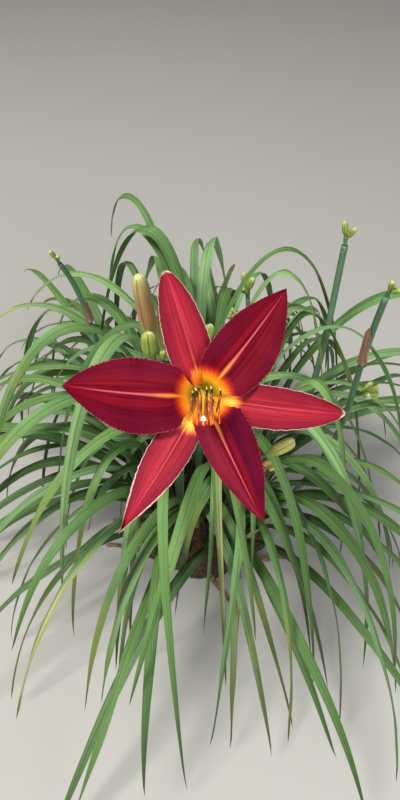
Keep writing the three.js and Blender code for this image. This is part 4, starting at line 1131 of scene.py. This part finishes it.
def petal_finish(name, look):
    """Velvety red with fine veins, a pale midrib, a golden throat and a thin pale margin."""
    w = Finish(name)
    u, v = w.uv()
    out, face, tone, gold, violet = w.values("out", "face", "tone", "gold", "violet")
    side = abs(u * 2.0 - 1.0)
    lines, soft = w.streaks(u, v, look.veins, 2.2, tone)
    wide, cloud = w.streaks(u, v, look.veins * 0.2, 1.0, tone)
    violet = violet * side.step(0.05, 0.3)
    # Lighter streaks along the veins near the midrib: partly the tepals' own colour, partly a
    # painted highlight.
    light = soft.step(0.2, 0.9) * side.step(look.streak_reach, 0.0)
    crimp = w.noise(w.vector(v * 96.0, side * 3.0, tone), 1.0)
    # crimped marks the fine crimps along the edges: its colour is painted shade in their folds,
    # and it also gives their relief.
    crimped = side.step(0.72, 0.97) * crimp.step(0.44, 0.64)
    color = w.layers(
        w.mix(wide * 0.75 + 0.1, look.deep, look.bright),
        (w.mottle(42.0)[0] * look.patch, look.bright),
        (violet * cloud.step(0.1, 0.8) * u.step(0.4, 0.6), look.violet),
        (violet * cloud.step(0.2, 0.8, 0.4, 0.85) * u.step(0.6, 0.4), look.blush),
        (lines * 0.5, look.vein),
        (side.step(look.edge_from, 0.98) * look.edge_shade, look.edge),
        (crimped * look.crimp, look.vein),
        (light * look.streak, look.streak_color),
    )
    ragged = w.noise(w.vector(u * 40.0, v * 3.0, tone), 1.0, 4.0, 0.7) - 0.5
    lack = 1.0 - gold
    near = (ragged * look.feather + out) / (gold * 0.35 + 0.65)
    near = side ** 2.0 * (lack ** 2.0 * 0.9 + look.halo_side) + near
    halo = w.mix(lack * 1.2, w.ramp(near / 0.3, *look.halo_stops), look.ember)
    # glow marks the golden throat; it also makes the throat glow by emission: painted light in
    # place of light shining through the petals.
    glow = near.step(*look.halo)
    rib = (side / out.step(0.1, 0.42, *look.rib_width)).step(1.0, 0.0)
    rib = rib * out.step(0.78, 0.5, 0.25, 1.0) * out.step(0.07, 0.12)
    dry = gold.step(0.9, 1.0, 0.0, look.dry) * v.step(0.5, 0.9)
    margin = (side + dry).step(*look.margin) * out.step(0.14, 0.26)
    color = w.layers(
        color,
        (glow, halo),
        (rib * look.rib, w.ramp(out, *look.rib_stops)),
        (margin * crimp.step(0.3, 0.6, *look.margin_share), look.margin_color),
        ((side * 0.03 + v).step(look.tip, look.tip + 0.03) * look.tip_share, look.tip_color),
    )
    color = w.mix(face, w.mix(0.45, color, look.under), color)
    return w.done(
        color, look.rough, lines * 0.7 + wide * 0.6 + crimped * 0.5, 0.5, 0.0006,
        Emission_Color=w.mix(glow * face, (0.0, 0.0, 0.0), halo), Emission_Strength=look.glow,
        Specular_IOR_Level=look.gloss, Sheen_Weight=look.sheen, Sheen_Tint=(0.9, 0.12, 0.2),
    )


def leaf_finish(look):
    """Strap leaf: green that differs from blade to blade, ribs, a crease, and worn tips.

    Painted shade darkens it towards the foot and the middle of the clump, where little light
    falls, along its crease, and over one half of some blades.
    """
    w = Finish("leaf_green")
    u, v = w.uv()
    face, tone, wear = w.values("face", "tone", "wear")
    side = abs(u * 2.0 - 1.0)
    ridges = w.effect("parallel_ribs", U=u, V=v, Count=9.0, Seed=tone)[0]
    lines, soft = w.streaks(u, v, 46.0, 5.0, tone)
    bands = w.streaks(u, v, 8.0, 2.0, tone + 3.0)[0]
    spots = w.mottle(16.0)[0]
    dry = wear.step(0.93, 0.96) * soft.step(0.3, 0.6) * v.step(0.45, 0.7) * u.step(0.35, 0.6)
    scars = w.noise(w.vector(u * 5.0, v * 42.0, tone * 31.0), 1.0, 3.0, 0.6).step(0.69, 0.74)
    color = w.layers(
        w.ramp(tone, (0.0, look.dark), (0.25, look.mid), (0.5, look.fresh), (0.72, look.blue),
               (1.0, look.pale)),
        (bands * 0.5, look.dark),
        (ridges * 0.2, look.rib_light),
        (lines * 0.3, look.dark),
        # Painted shade: one half of the blade is darker, by a share drawn for each blade.
        (u.step(0.47, 0.53) * wear.step(0.2, 0.8, 0.1, 0.45), look.dark),
        (spots * 0.25, look.fresh),
        # Painted shade: a dark line along the crease, where the fold lies in shade.
        (side.step(0.02, 0.085, 1.0, 0.0) * 0.8, look.crease),
        (side.step(0.07, 0.14) * side.step(0.36, 0.16) * 0.35, look.rib_light),
        (side.step(0.92, 1.0) * 0.4, look.rib_light),
        ((spots * 0.25 + v).step(0.72, 1.12) * wear.step(0.4, 0.9), look.yellow),
        (dry, look.straw),
        ((soft * 0.05 + v).step(0.965, 0.99) * wear.step(0.5, 0.62), look.brown),
        (scars * wear.step(0.25, 0.6) * 0.6, look.scar),
        (v.step(0.16, 0.0), look.foot),
    )
    color = w.mix(face, w.mix(0.4, color, look.under), color)
    # Painted shade: leaves darken low down and near the middle of the clump.
    x, y, z = w.split(w.place())
    inner = (x * x + y * y).root().step(0.36, 0.13, 0.6, 1.0)
    shaded = w.mix(1.0, color, (0.08, 0.1, 0.07), "MULTIPLY")
    color = w.mix(z.step(0.37, 0.05) * inner, color, shaded)
    roughness = lines.step(0.0, 1.0, 0.36, 0.5)
    return w.done(color, roughness, lines * 0.35 + ridges, 0.6, 0.0005, Specular_IOR_Level=0.3)


def stem_finish(look):
    """Round green stem with a waxy, bluish bloom, faint lines and pale specks."""
    w = Finish("scape_green")
    u, v = w.uv()
    lines = w.streaks(u, v, 22.0, 3.0, w.values("tone")[0])[0]
    blotches, specks = w.mottle(22.0)
    color = w.layers(look.stem, (lines * 0.5, look.stem_dark), (blotches * 0.4, look.stem_wax),
                     (specks * 0.5, look.stem_light), (v.step(0.2, 0.0), look.foot))
    return w.done(color, blotches.step(0.0, 1.0, 0.42, 0.6), lines, 0.4, 0.0004)


def bud_finish(name, look, line, *along):
    """A bud: colours along it, dark seams between its folded tepals and fine ribs."""
    w = Finish(name)
    u, v = w.uv()
    tone, kind = w.values("tone", "kind")
    lines, blush = w.streaks(u, v, 30.0, 1.6, tone)[0], w.streaks(u, v, 5.0, 1.3, tone)[0]
    seam = (u * 3.0 + 0.5).pingpong(0.5).step(0.055, 0.0) * v.step(0.08, 0.3)
    color = w.layers(w.ramp(v + (blush - 0.5) * 0.16, *along), (lines * 0.4, line),
                     (seam * 0.75, look.bud_seam), (v.step(0.955, 0.985), look.bud_tip))
    return w.done(w.mix(kind, look.stem, color), 0.5, lines * 0.5 - seam, 0.5, 0.0006)


def anther_finish(look):
    """Maroon pollen sacs: grainy, black at the upper end, with a pale point and a dark groove."""
    w = Finish("anther_maroon")
    u, v = w.uv()
    grain, clumps = w.noise(w.place(), 2600.0, 2.0, 0.7), w.noise(w.place(), 420.0, 3.0, 0.6)
    groove = (u * 2.0 + 0.5).pingpong(0.5).step(0.09, 0.0)
    color = w.layers(look.dark, (grain.step(0.35, 0.7), look.body),
                     (clumps.step(0.5, 0.66) * 0.8, look.pollen), (v.step(0.36, 0.24), look.top),
                     (v.step(0.13, 0.08), look.point), (groove * 0.8, look.top))
    return w.done(color, 0.8, grain + clumps, 0.7, 0.0003)


def thread_finish(name, knob, *along):
    """A filament or style: colours along it, and a pale grainy knob where there is one."""
    w = Finish(name)
    grain = w.noise(w.place(), 900.0, 2.0)
    color = w.ramp(w.uv()[1] + (grain - 0.5) * 0.08, *along)
    if knob is not None:
        color = w.mix(w.values("knob")[0], color, knob)
    return w.done(color, 0.4, grain, 0.25, 0.0002)


def paper_finish(look):
    """A dry bract: tan and brown papery streaks, with paler and redder blotches."""
    w = Finish("bract_paper")
    u, v = w.uv()
    lines = w.streaks(u, v, 20.0, 3.0, 0.4)[0]
    blotches, specks = w.mottle(90.0)
    color = w.layers(look.paper, (lines, look.paper_dark), (blotches * 0.6, look.paper_red),
                     (specks * 0.7, look.paper_light))
    return w.done(color, 0.85, lines, 0.8, 0.0005)


def root_finish(look):
    """Rootstock: brown fibres and crumbs of earth, with paler fleshy roots."""
    w = Finish("rootstock_brown")
    crumbs = w.noise(w.place(), 260.0, 5.0, 0.7)
    stretched = w.add("Mapping", {"Vector": w.place(), "Scale": (1.0, 1.0, 0.15)})
    fibres = w.noise(stretched, 420.0)
    color = w.layers(look.earth_dark, (crumbs.step(0.35, 0.65), look.earth),
                     (fibres.step(0.5, 0.62) * 0.6, look.fibre),
                     (w.mottle(30.0)[0] * 0.5, look.earth_dark),
                     (w.values("root")[0] * crumbs.step(0.62, 0.4) * 0.8, look.root))
    return w.done(color, 0.92, crumbs + fibres * 0.6, 0.9, 0.003)


def plain_finish(name, color, roughness, scale, glow=0.0):
    """A quiet surface of one colour with a faint cloudiness."""
    w = Finish(name)
    clouded = w.mix(w.noise(w.place(), scale), tuple(c * 0.94 for c in color), color)
    # A glow above 0 makes the surface glow in its own colour: painted light.
    return w.done(clouded, roughness, Emission_Color=color, Emission_Strength=glow)


# ---------------------------------------------------------------- settings

def color_setting(name, description, *color):
    """A colour property, its default given as 0 to 255 per channel."""
    return FloatVectorProperty(name=name, description=description, subtype="COLOR", size=3,
                               min=0.0, max=1.0, default=rgb(*color))


class BloomSettings(bpy.types.PropertyGroup):
    """Sizes and colours of the open bloom."""

    petal_deep: color_setting("Petal, deep", "The darkest red of the petals", 64, 1, 15)
    petal_bright: color_setting("Petal, bright", "The brightest red of the petals", 130, 2, 18)
    petal_vein: color_setting("Petal veins", "The red of the petals' fine veins", 62, 2, 28)
    sepal_deep: color_setting("Sepal, deep", "The darker red of the sepals", 106, 10, 28)
    sepal_bright: color_setting("Sepal, bright", "The brighter red of the sepals", 168, 30, 45)
    rib: color_setting("Midrib", "The pale line along a petal", 216, 92, 112)
    halo_gold: color_setting("Throat gold", "The golden ring round the throat", 240, 162, 32)
    halo_green: color_setting("Throat green", "The green deep in the throat", 138, 124, 14)
    crimp: FloatProperty(name="Crimp", description="Height of the petals' fine edge waves, in mm",
                         default=0.5, min=0.0, max=2.0, precision=2)
    rows: IntProperty(name="Rows", description="Rows of faces along a petal",
                      default=180, min=40, max=260)
    columns: IntProperty(name="Columns", description="Columns of faces across a petal",
                         default=44, min=12, max=80)


class FoliageSettings(bpy.types.PropertyGroup):
    """Sizes and colours of the leaves, stems and buds."""

    dark: color_setting("Leaf, dark", "The darkest green of the leaves", 44, 78, 28)
    mid: color_setting("Leaf, middle", "The middle green of the leaves", 92, 138, 62)
    fresh: color_setting("Leaf, fresh", "The yellowish green of young leaves", 136, 182, 92)
    blue: color_setting("Leaf, bluish", "The waxy blue green of some leaves", 150, 198, 146)
    pale: color_setting("Leaf, pale", "The lightest green of the leaves", 186, 224, 150)
    stem: color_setting("Stem", "The green of the flower stems", 80, 116, 80)
    bud: color_setting("Bud", "The green of the buds", 136, 158, 68)
    rows: IntProperty(name="Rows", description="Rows of faces along a leaf",
                      default=40, min=12, max=80)
    columns: IntProperty(name="Columns", description="Columns of faces across a leaf's one face",
                         default=10, min=4, max=16)


class StudioSettings(bpy.types.PropertyGroup):
    """The floor, the light and the camera."""

    floor: color_setting("Floor", "The colour of the plain floor", 182, 180, 174)
    key: FloatProperty(name="Key light", description="Power of the soft main light",
                       subtype="POWER", unit="POWER", default=245.0, min=0.0)
    sky: FloatProperty(name="Sky", description="Strength of the even light from all round",
                       default=0.14, min=0.0, max=5.0)
    lens: FloatProperty(name="Lens", description="Focal length of the camera in mm",
                        default=27.0, min=10.0, max=200.0)


GROUPS = {
    "daylily_bloom": BloomSettings,
    "daylily_foliage": FoliageSettings,
    "daylily_studio": StudioSettings,
}


def settings():
    """The three groups of settings of the current scene."""
    return [getattr(bpy.context.scene, key) for key in GROUPS]


def foliage_look():
    """The colours that leaves, stems, buds, bracts and the rootstock share."""
    f = settings()[1]
    chosen = {key: tuple(getattr(f, key)) for key in
              ("dark", "mid", "fresh", "blue", "pale", "stem", "bud")}
    return Named(
        **chosen,
        # crease is the painted shade along a leaf's crease.
        rib_light=rgb(164, 198, 124), crease=rgb(24, 48, 16), straw=rgb(226, 214, 150),
        yellow=rgb(168, 164, 84), brown=rgb(138, 104, 66), scar=rgb(176, 164, 122),
        foot=rgb(160, 176, 104), under=rgb(92, 128, 76),
        stem_dark=rgb(48, 78, 52), stem_wax=rgb(116, 146, 116), stem_light=rgb(160, 180, 140),
        bud_seam=rgb(70, 62, 30), bud_tip=rgb(204, 208, 140),
        paper=rgb(184, 146, 120), paper_dark=rgb(118, 82, 64), paper_red=rgb(150, 98, 80),
        paper_light=rgb(206, 178, 150),
        earth=rgb(104, 78, 58), earth_dark=rgb(46, 34, 26), fibre=rgb(150, 124, 92),
        root=rgb(176, 142, 100),
    )


def stops(*places_and_colors):
    """Stops of a ramp from numbers in fours: a place, then red, green and blue to 255."""
    return [(p, rgb(*c)) for p, *c in places_and_colors]


# ---------------------------------------------------------------- operators

class DAYLILY_OT_petals(bpy.types.Operator):
    """Builds the three ruffled inner petals."""

    bl_idname = "daylily.petals"
    bl_label = "Petals"

    def execute(self, context):
        b = settings()[0]
        material = petal_finish("petal_red", Named(
            deep=tuple(b.petal_deep), bright=tuple(b.petal_bright), vein=tuple(b.petal_vein),
            violet=rgb(88, 12, 46), blush=rgb(172, 58, 84), veins=90.0, patch=0.3,
            edge=rgb(102, 11, 38), edge_shade=0.6, edge_from=0.35, crimp=0.18, dry=0.0,
            streak=0.4, streak_reach=0.8, streak_color=rgb(164, 22, 40),
            feather=0.055, halo_side=-0.01, halo=(0.195, 0.125), glow=0.16,
            halo_stops=[(0.0, tuple(b.halo_green)), (0.24, rgb(152, 136, 26)),
                        (0.34, tuple(b.halo_gold)),
                        *stops((0.41, 232, 128, 28), (0.49, 206, 64, 22), (0.6, 150, 18, 22))],
            ember=rgb(222, 90, 28), rib=0.82, rib_width=(0.12, 0.045),
            rib_stops=[*stops((0.1, 244, 160, 34), (0.2, 250, 152, 72), (0.29, 222, 104, 98)),
                       (0.5, tuple(b.rib))],
            margin=(0.975, 0.992), margin_share=(0.05, 0.6), margin_color=rgb(206, 120, 130),
            tip=0.985, tip_share=0.35, tip_color=rgb(150, 60, 70),
            under=rgb(150, 60, 66), rough=0.6, gloss=0.045, sheen=0.01,
        ))
        for i, (name, petal) in enumerate(PETALS.items()):
            marks = (1.0, 0.8 if name == "petal_lower_right" else 0.25)
            skin = petal_skin(PETAL_FORM, petal, b.rows, b.columns, b.crimp, 0.37 + 1.9 * i, 0,
                              marks)
            skin.piece(name, material, "petal")
        return {"FINISHED"}


class DAYLILY_OT_sepals(bpy.types.Operator):
    """Builds the three smooth outer sepals."""

    bl_idname = "daylily.sepals"
    bl_label = "Sepals"

    def execute(self, context):
        b = settings()[0]
        material = petal_finish("sepal_red", Named(
            deep=tuple(b.sepal_deep), bright=tuple(b.sepal_bright), vein=rgb(128, 18, 44),
            violet=rgb(124, 16, 50), blush=rgb(196, 50, 70), veins=64.0, patch=0.4,
            edge=rgb(108, 14, 42), edge_shade=0.8, edge_from=0.52, crimp=0.1, dry=0.13,
            streak=0.5, streak_reach=0.6, streak_color=rgb(208, 58, 76),
            feather=0.12, halo_side=0.03, halo=(0.26, 0.2), glow=0.32,
            halo_stops=[(0.0, tuple(b.halo_green)),
                        *stops((0.2, 226, 156, 24), (0.42, 248, 174, 44), (0.62, 253, 202, 84),
                               (0.76, 250, 140, 54), (0.86, 214, 66, 56))],
            ember=rgb(232, 104, 32), rib=0.3, rib_width=(0.05, 0.03),
            rib_stops=stops((0.1, 236, 160, 30), (0.24, 250, 148, 60), (0.36, 232, 110, 110)),
            margin=(0.96, 0.986), margin_share=(0.4, 0.9), margin_color=rgb(238, 200, 186),
            tip=0.981, tip_share=0.9, tip_color=rgb(240, 226, 200),
            under=rgb(196, 120, 96), rough=0.52, gloss=0.12, sheen=0.01,
        ))
        for i, (name, petal) in enumerate(SEPALS.items()):
            curl = 5.0 if name == "sepal_lower_left" else 1.5
            marks = {"sepal_top": (0.3, 0.1), "sepal_right": (0.75, 0.3)}.get(name, (1.0, 0.3))
            skin = petal_skin(SEPAL_FORM, petal, b.rows, b.columns, 0.18, 0.71 + 2.3 * i, curl,
                              marks)
            skin.piece(name, material, "sepal")
        return {"FINISHED"}


class DAYLILY_OT_heart(bpy.types.Operator):
    """Builds the perianth tube, the stamens and the pistil."""

    bl_idname = "daylily.heart"
    bl_label = "Tube, Stamens and Pistil"

    def execute(self, context):
        # The tube glows faintly in its own colour: painted light.
        tube = plain_finish("tube_green", rgb(176, 156, 40), 0.5, 60.0, 0.12)
        tube_skin().piece("perianth_tube", tube, "tube")
        thread = thread_finish("filament_gold", None, *stops(
            (0.0, 196, 190, 60), (0.45, 240, 176, 44), (0.8, 246, 140, 44), (1.0, 214, 90, 48)))
        anther = anther_finish(Named(
            body=rgb(190, 92, 46), dark=rgb(120, 42, 24), pollen=rgb(222, 130, 66),
            top=rgb(22, 10, 10), point=rgb(246, 196, 104),
        ))
        for i, stamen in enumerate(STAMENS, 1):
            filament_skin, anther_skin = stamen_skins(stamen, i)
            filament_skin.piece(f"filament_{i}", thread, "filament")
            anther_skin.piece(f"anther_{i}", anther, "anther")
        style = thread_finish("style_pink", rgb(252, 246, 238), *stops(
            (0.0, 210, 190, 70), (0.6, 246, 170, 60), (0.9, 240, 170, 130), (1.0, 244, 214, 190)))
        pistil_skin().piece("pistil", style, "pistil")
        return {"FINISHED"}


class DAYLILY_OT_buds(bpy.types.Operator):
    """Builds the buds beside the bloom and the bunches of young buds."""

    bl_idname = "daylily.buds"
    bl_label = "Buds"

    def execute(self, context):
        look, olive, plum = foliage_look(), rgb(96, 104, 46), rgb(124, 76, 62)
        green = bud_finish("bud_green", look, olive, (0.0, rgb(88, 124, 44)), (0.35, look.bud),
                           *stops((0.75, 142, 162, 68), (1.0, 182, 196, 104)))
        tan = bud_finish("bud_tan", look, plum, *stops(
            (0.0, 184, 202, 92), (0.24, 190, 188, 94), (0.42, 176, 136, 84),
            (0.66, 172, 132, 84), (0.86, 178, 166, 96), (0.95, 196, 198, 120)))
        # bud_golden and bud_pale are brighter copies of the bud colours for the lower right and
        # the tall bud, which lie in the sepals' shade: partly their paler colour, partly painted
        # light.
        golden = bud_finish("bud_golden", look, olive, *stops(
            (0.0, 132, 158, 64), (0.5, 196, 196, 96), (1.0, 220, 214, 132)))
        pale = bud_finish("bud_pale", look, olive, *stops(
            (0.0, 214, 228, 112), (0.5, 250, 246, 150), (1.0, 240, 226, 140)))
        materials = {"bud_large": tan, "bud_tall": pale, "bud_lower_right": golden}
        for i, (name, (base, tip, radius)) in enumerate(BUDS.items()):
            skin = Skin()
            bud_rod(skin, in_plant(base), in_plant(tip), radius, FINE.bud, 0.17 * i)
            slot = "bud_tan" if name == "bud_large" else "bud"
            skin.piece(name, materials.get(name, green), slot)
        for name, bunch in BUNCHES.items():
            bunch_skin(*bunch, 0.2).piece(name, green, "bud")
        for name, (_, _, toward, _, buds, size) in TWIGS.items():
            bunch_skin(twig_foot(name), toward, buds, size, 0.4).piece(name, green, "bud")
        return {"FINISHED"}


class DAYLILY_OT_scapes(bpy.types.Operator):
    """Builds the flower stems, their dry bracts and the withered foot of an older flower."""

    bl_idname = "daylily.scapes"
    bl_label = "Scapes and Bracts"

    def execute(self, context):
        look = foliage_look()
        stem, paper = stem_finish(look), paper_finish(look)
        main_scape_skin().piece("scape_of_bloom", stem, "scape")
        for i, name in enumerate(OTHER_SCAPES):
            other_scape_skin(name, 0.2 * i).piece(name, stem, "scape")
        for name, bract in BRACTS.items():
            bract_skin(*bract).piece(name, paper, "bract")
        dry = plain_finish("withered_cream", rgb(216, 176, 96), 0.8, 300.0)
        withered_skin().piece("withered_flower_foot", dry, "bract")
        return {"FINISHED"}


class DAYLILY_OT_leaves(bpy.types.Operator):
    """Builds the fans of long folded leaves."""

    bl_idname = "daylily.leaves"
    bl_label = "Leaves"

    def execute(self, context):
        f = settings()[1]
        material = leaf_finish(foliage_look())
        for fan in grow_fans():
            name = f"leaf_fan_{fan.number:02d}"
            fan_skin(fan, f.rows, f.columns).piece(name, material, "leaf")
        return {"FINISHED"}


class DAYLILY_OT_rootstock(bpy.types.Operator):
    """Builds the rootstock with the stubs of its roots."""

    bl_idname = "daylily.rootstock"
    bl_label = "Rootstock"

    def execute(self, context):
        crown_skin().piece("crown", root_finish(foliage_look()), "crown")
        return {"FINISHED"}


class DAYLILY_OT_stage(bpy.types.Operator):
    """Lays the floor, hangs the lights and sets the camera."""

    bl_idname = "daylily.stage"
    bl_label = "Stage"

    def execute(self, context):
        s, scene = settings()[2], context.scene
        mesh = bpy.data.meshes.new("floor")
        corners = [(x * FLOOR_REACH, y * FLOOR_REACH, 0) for x, y in
                   ((-1, -1), (1, -1), (1, 1), (-1, 1))]
        mesh.from_pydata(corners, [], [(0, 1, 2, 3)])
        mesh.materials.append(plain_finish("studio_floor", tuple(s.floor), 0.9, 2.0))
        floor = bpy.data.objects.new("floor", mesh)
        scene.collection.objects.link(floor)
        scene.world = bpy.data.worlds.new("studio")
        scene.world.use_nodes = True
        background = scene.world.node_tree.nodes["Background"].inputs
        background["Color"].default_value = (*SKY_COLOR, 1)
        background["Strength"].default_value = s.sky
        for name, (place, size, share, color) in LIGHTS.items():
            data = bpy.data.lights.new(name, "AREA")
            data.size, data.energy, data.color = size, s.key * share, color
            light = bpy.data.objects.new(name, data)
            light.location = place
            aim = Vector(LIGHTS_AIM) - Vector(place)
            light.rotation_euler = aim.to_track_quat("-Z", "Y").to_euler()
            scene.collection.objects.link(light)
        data = bpy.data.cameras.new("camera")
        data.sensor_width, data.sensor_fit, data.lens = 36.0, "AUTO", s.lens
        data.clip_start = 0.01
        scene.camera = bpy.data.objects.new("camera", data)
        scene.camera.location = CAMERA_PLACE
        scene.camera.rotation_euler = (np.radians(BLOOM.tilt), 0, 0)
        scene.collection.objects.link(scene.camera)
        scene.view_settings.view_transform = "Standard"
        return {"FINISHED"}


OPERATORS = (
    DAYLILY_OT_petals, DAYLILY_OT_sepals, DAYLILY_OT_heart, DAYLILY_OT_buds, DAYLILY_OT_scapes,
    DAYLILY_OT_leaves, DAYLILY_OT_rootstock, DAYLILY_OT_stage,
)


class DAYLILY_PT_sidebar(bpy.types.Panel):
    """Lists the steps and the settings of the daylily."""

    bl_idname = "DAYLILY_PT_sidebar"
    bl_label = "Daylily"
    bl_space_type = "VIEW_3D"
    bl_region_type = "UI"
    bl_category = "Daylily"

    def draw(self, context):
        for operator in OPERATORS:
            self.layout.operator(operator.bl_idname)
        for group in settings():
            box = self.layout.box()
            for key in group.__annotations__:
                box.prop(group, key)


def register():
    """Registers the settings, the operators and the panel."""
    for key, group in GROUPS.items():
        bpy.utils.register_class(group)
        setattr(bpy.types.Scene, key, PointerProperty(type=group))
    for item in (*OPERATORS, DAYLILY_PT_sidebar):
        bpy.utils.register_class(item)


def unregister():
    """Takes back what register made."""
    for item in (DAYLILY_PT_sidebar, *reversed(OPERATORS)):
        bpy.utils.unregister_class(item)
    for key, group in GROUPS.items():
        delattr(bpy.types.Scene, key)
        bpy.utils.unregister_class(group)


def main():
    """Registers the classes and builds every piece in order."""
    register()
    for operator in OPERATORS:
        group, name = operator.bl_idname.split(".")
        getattr(getattr(bpy.ops, group), name)()


if __name__ == "__main__":
    main()
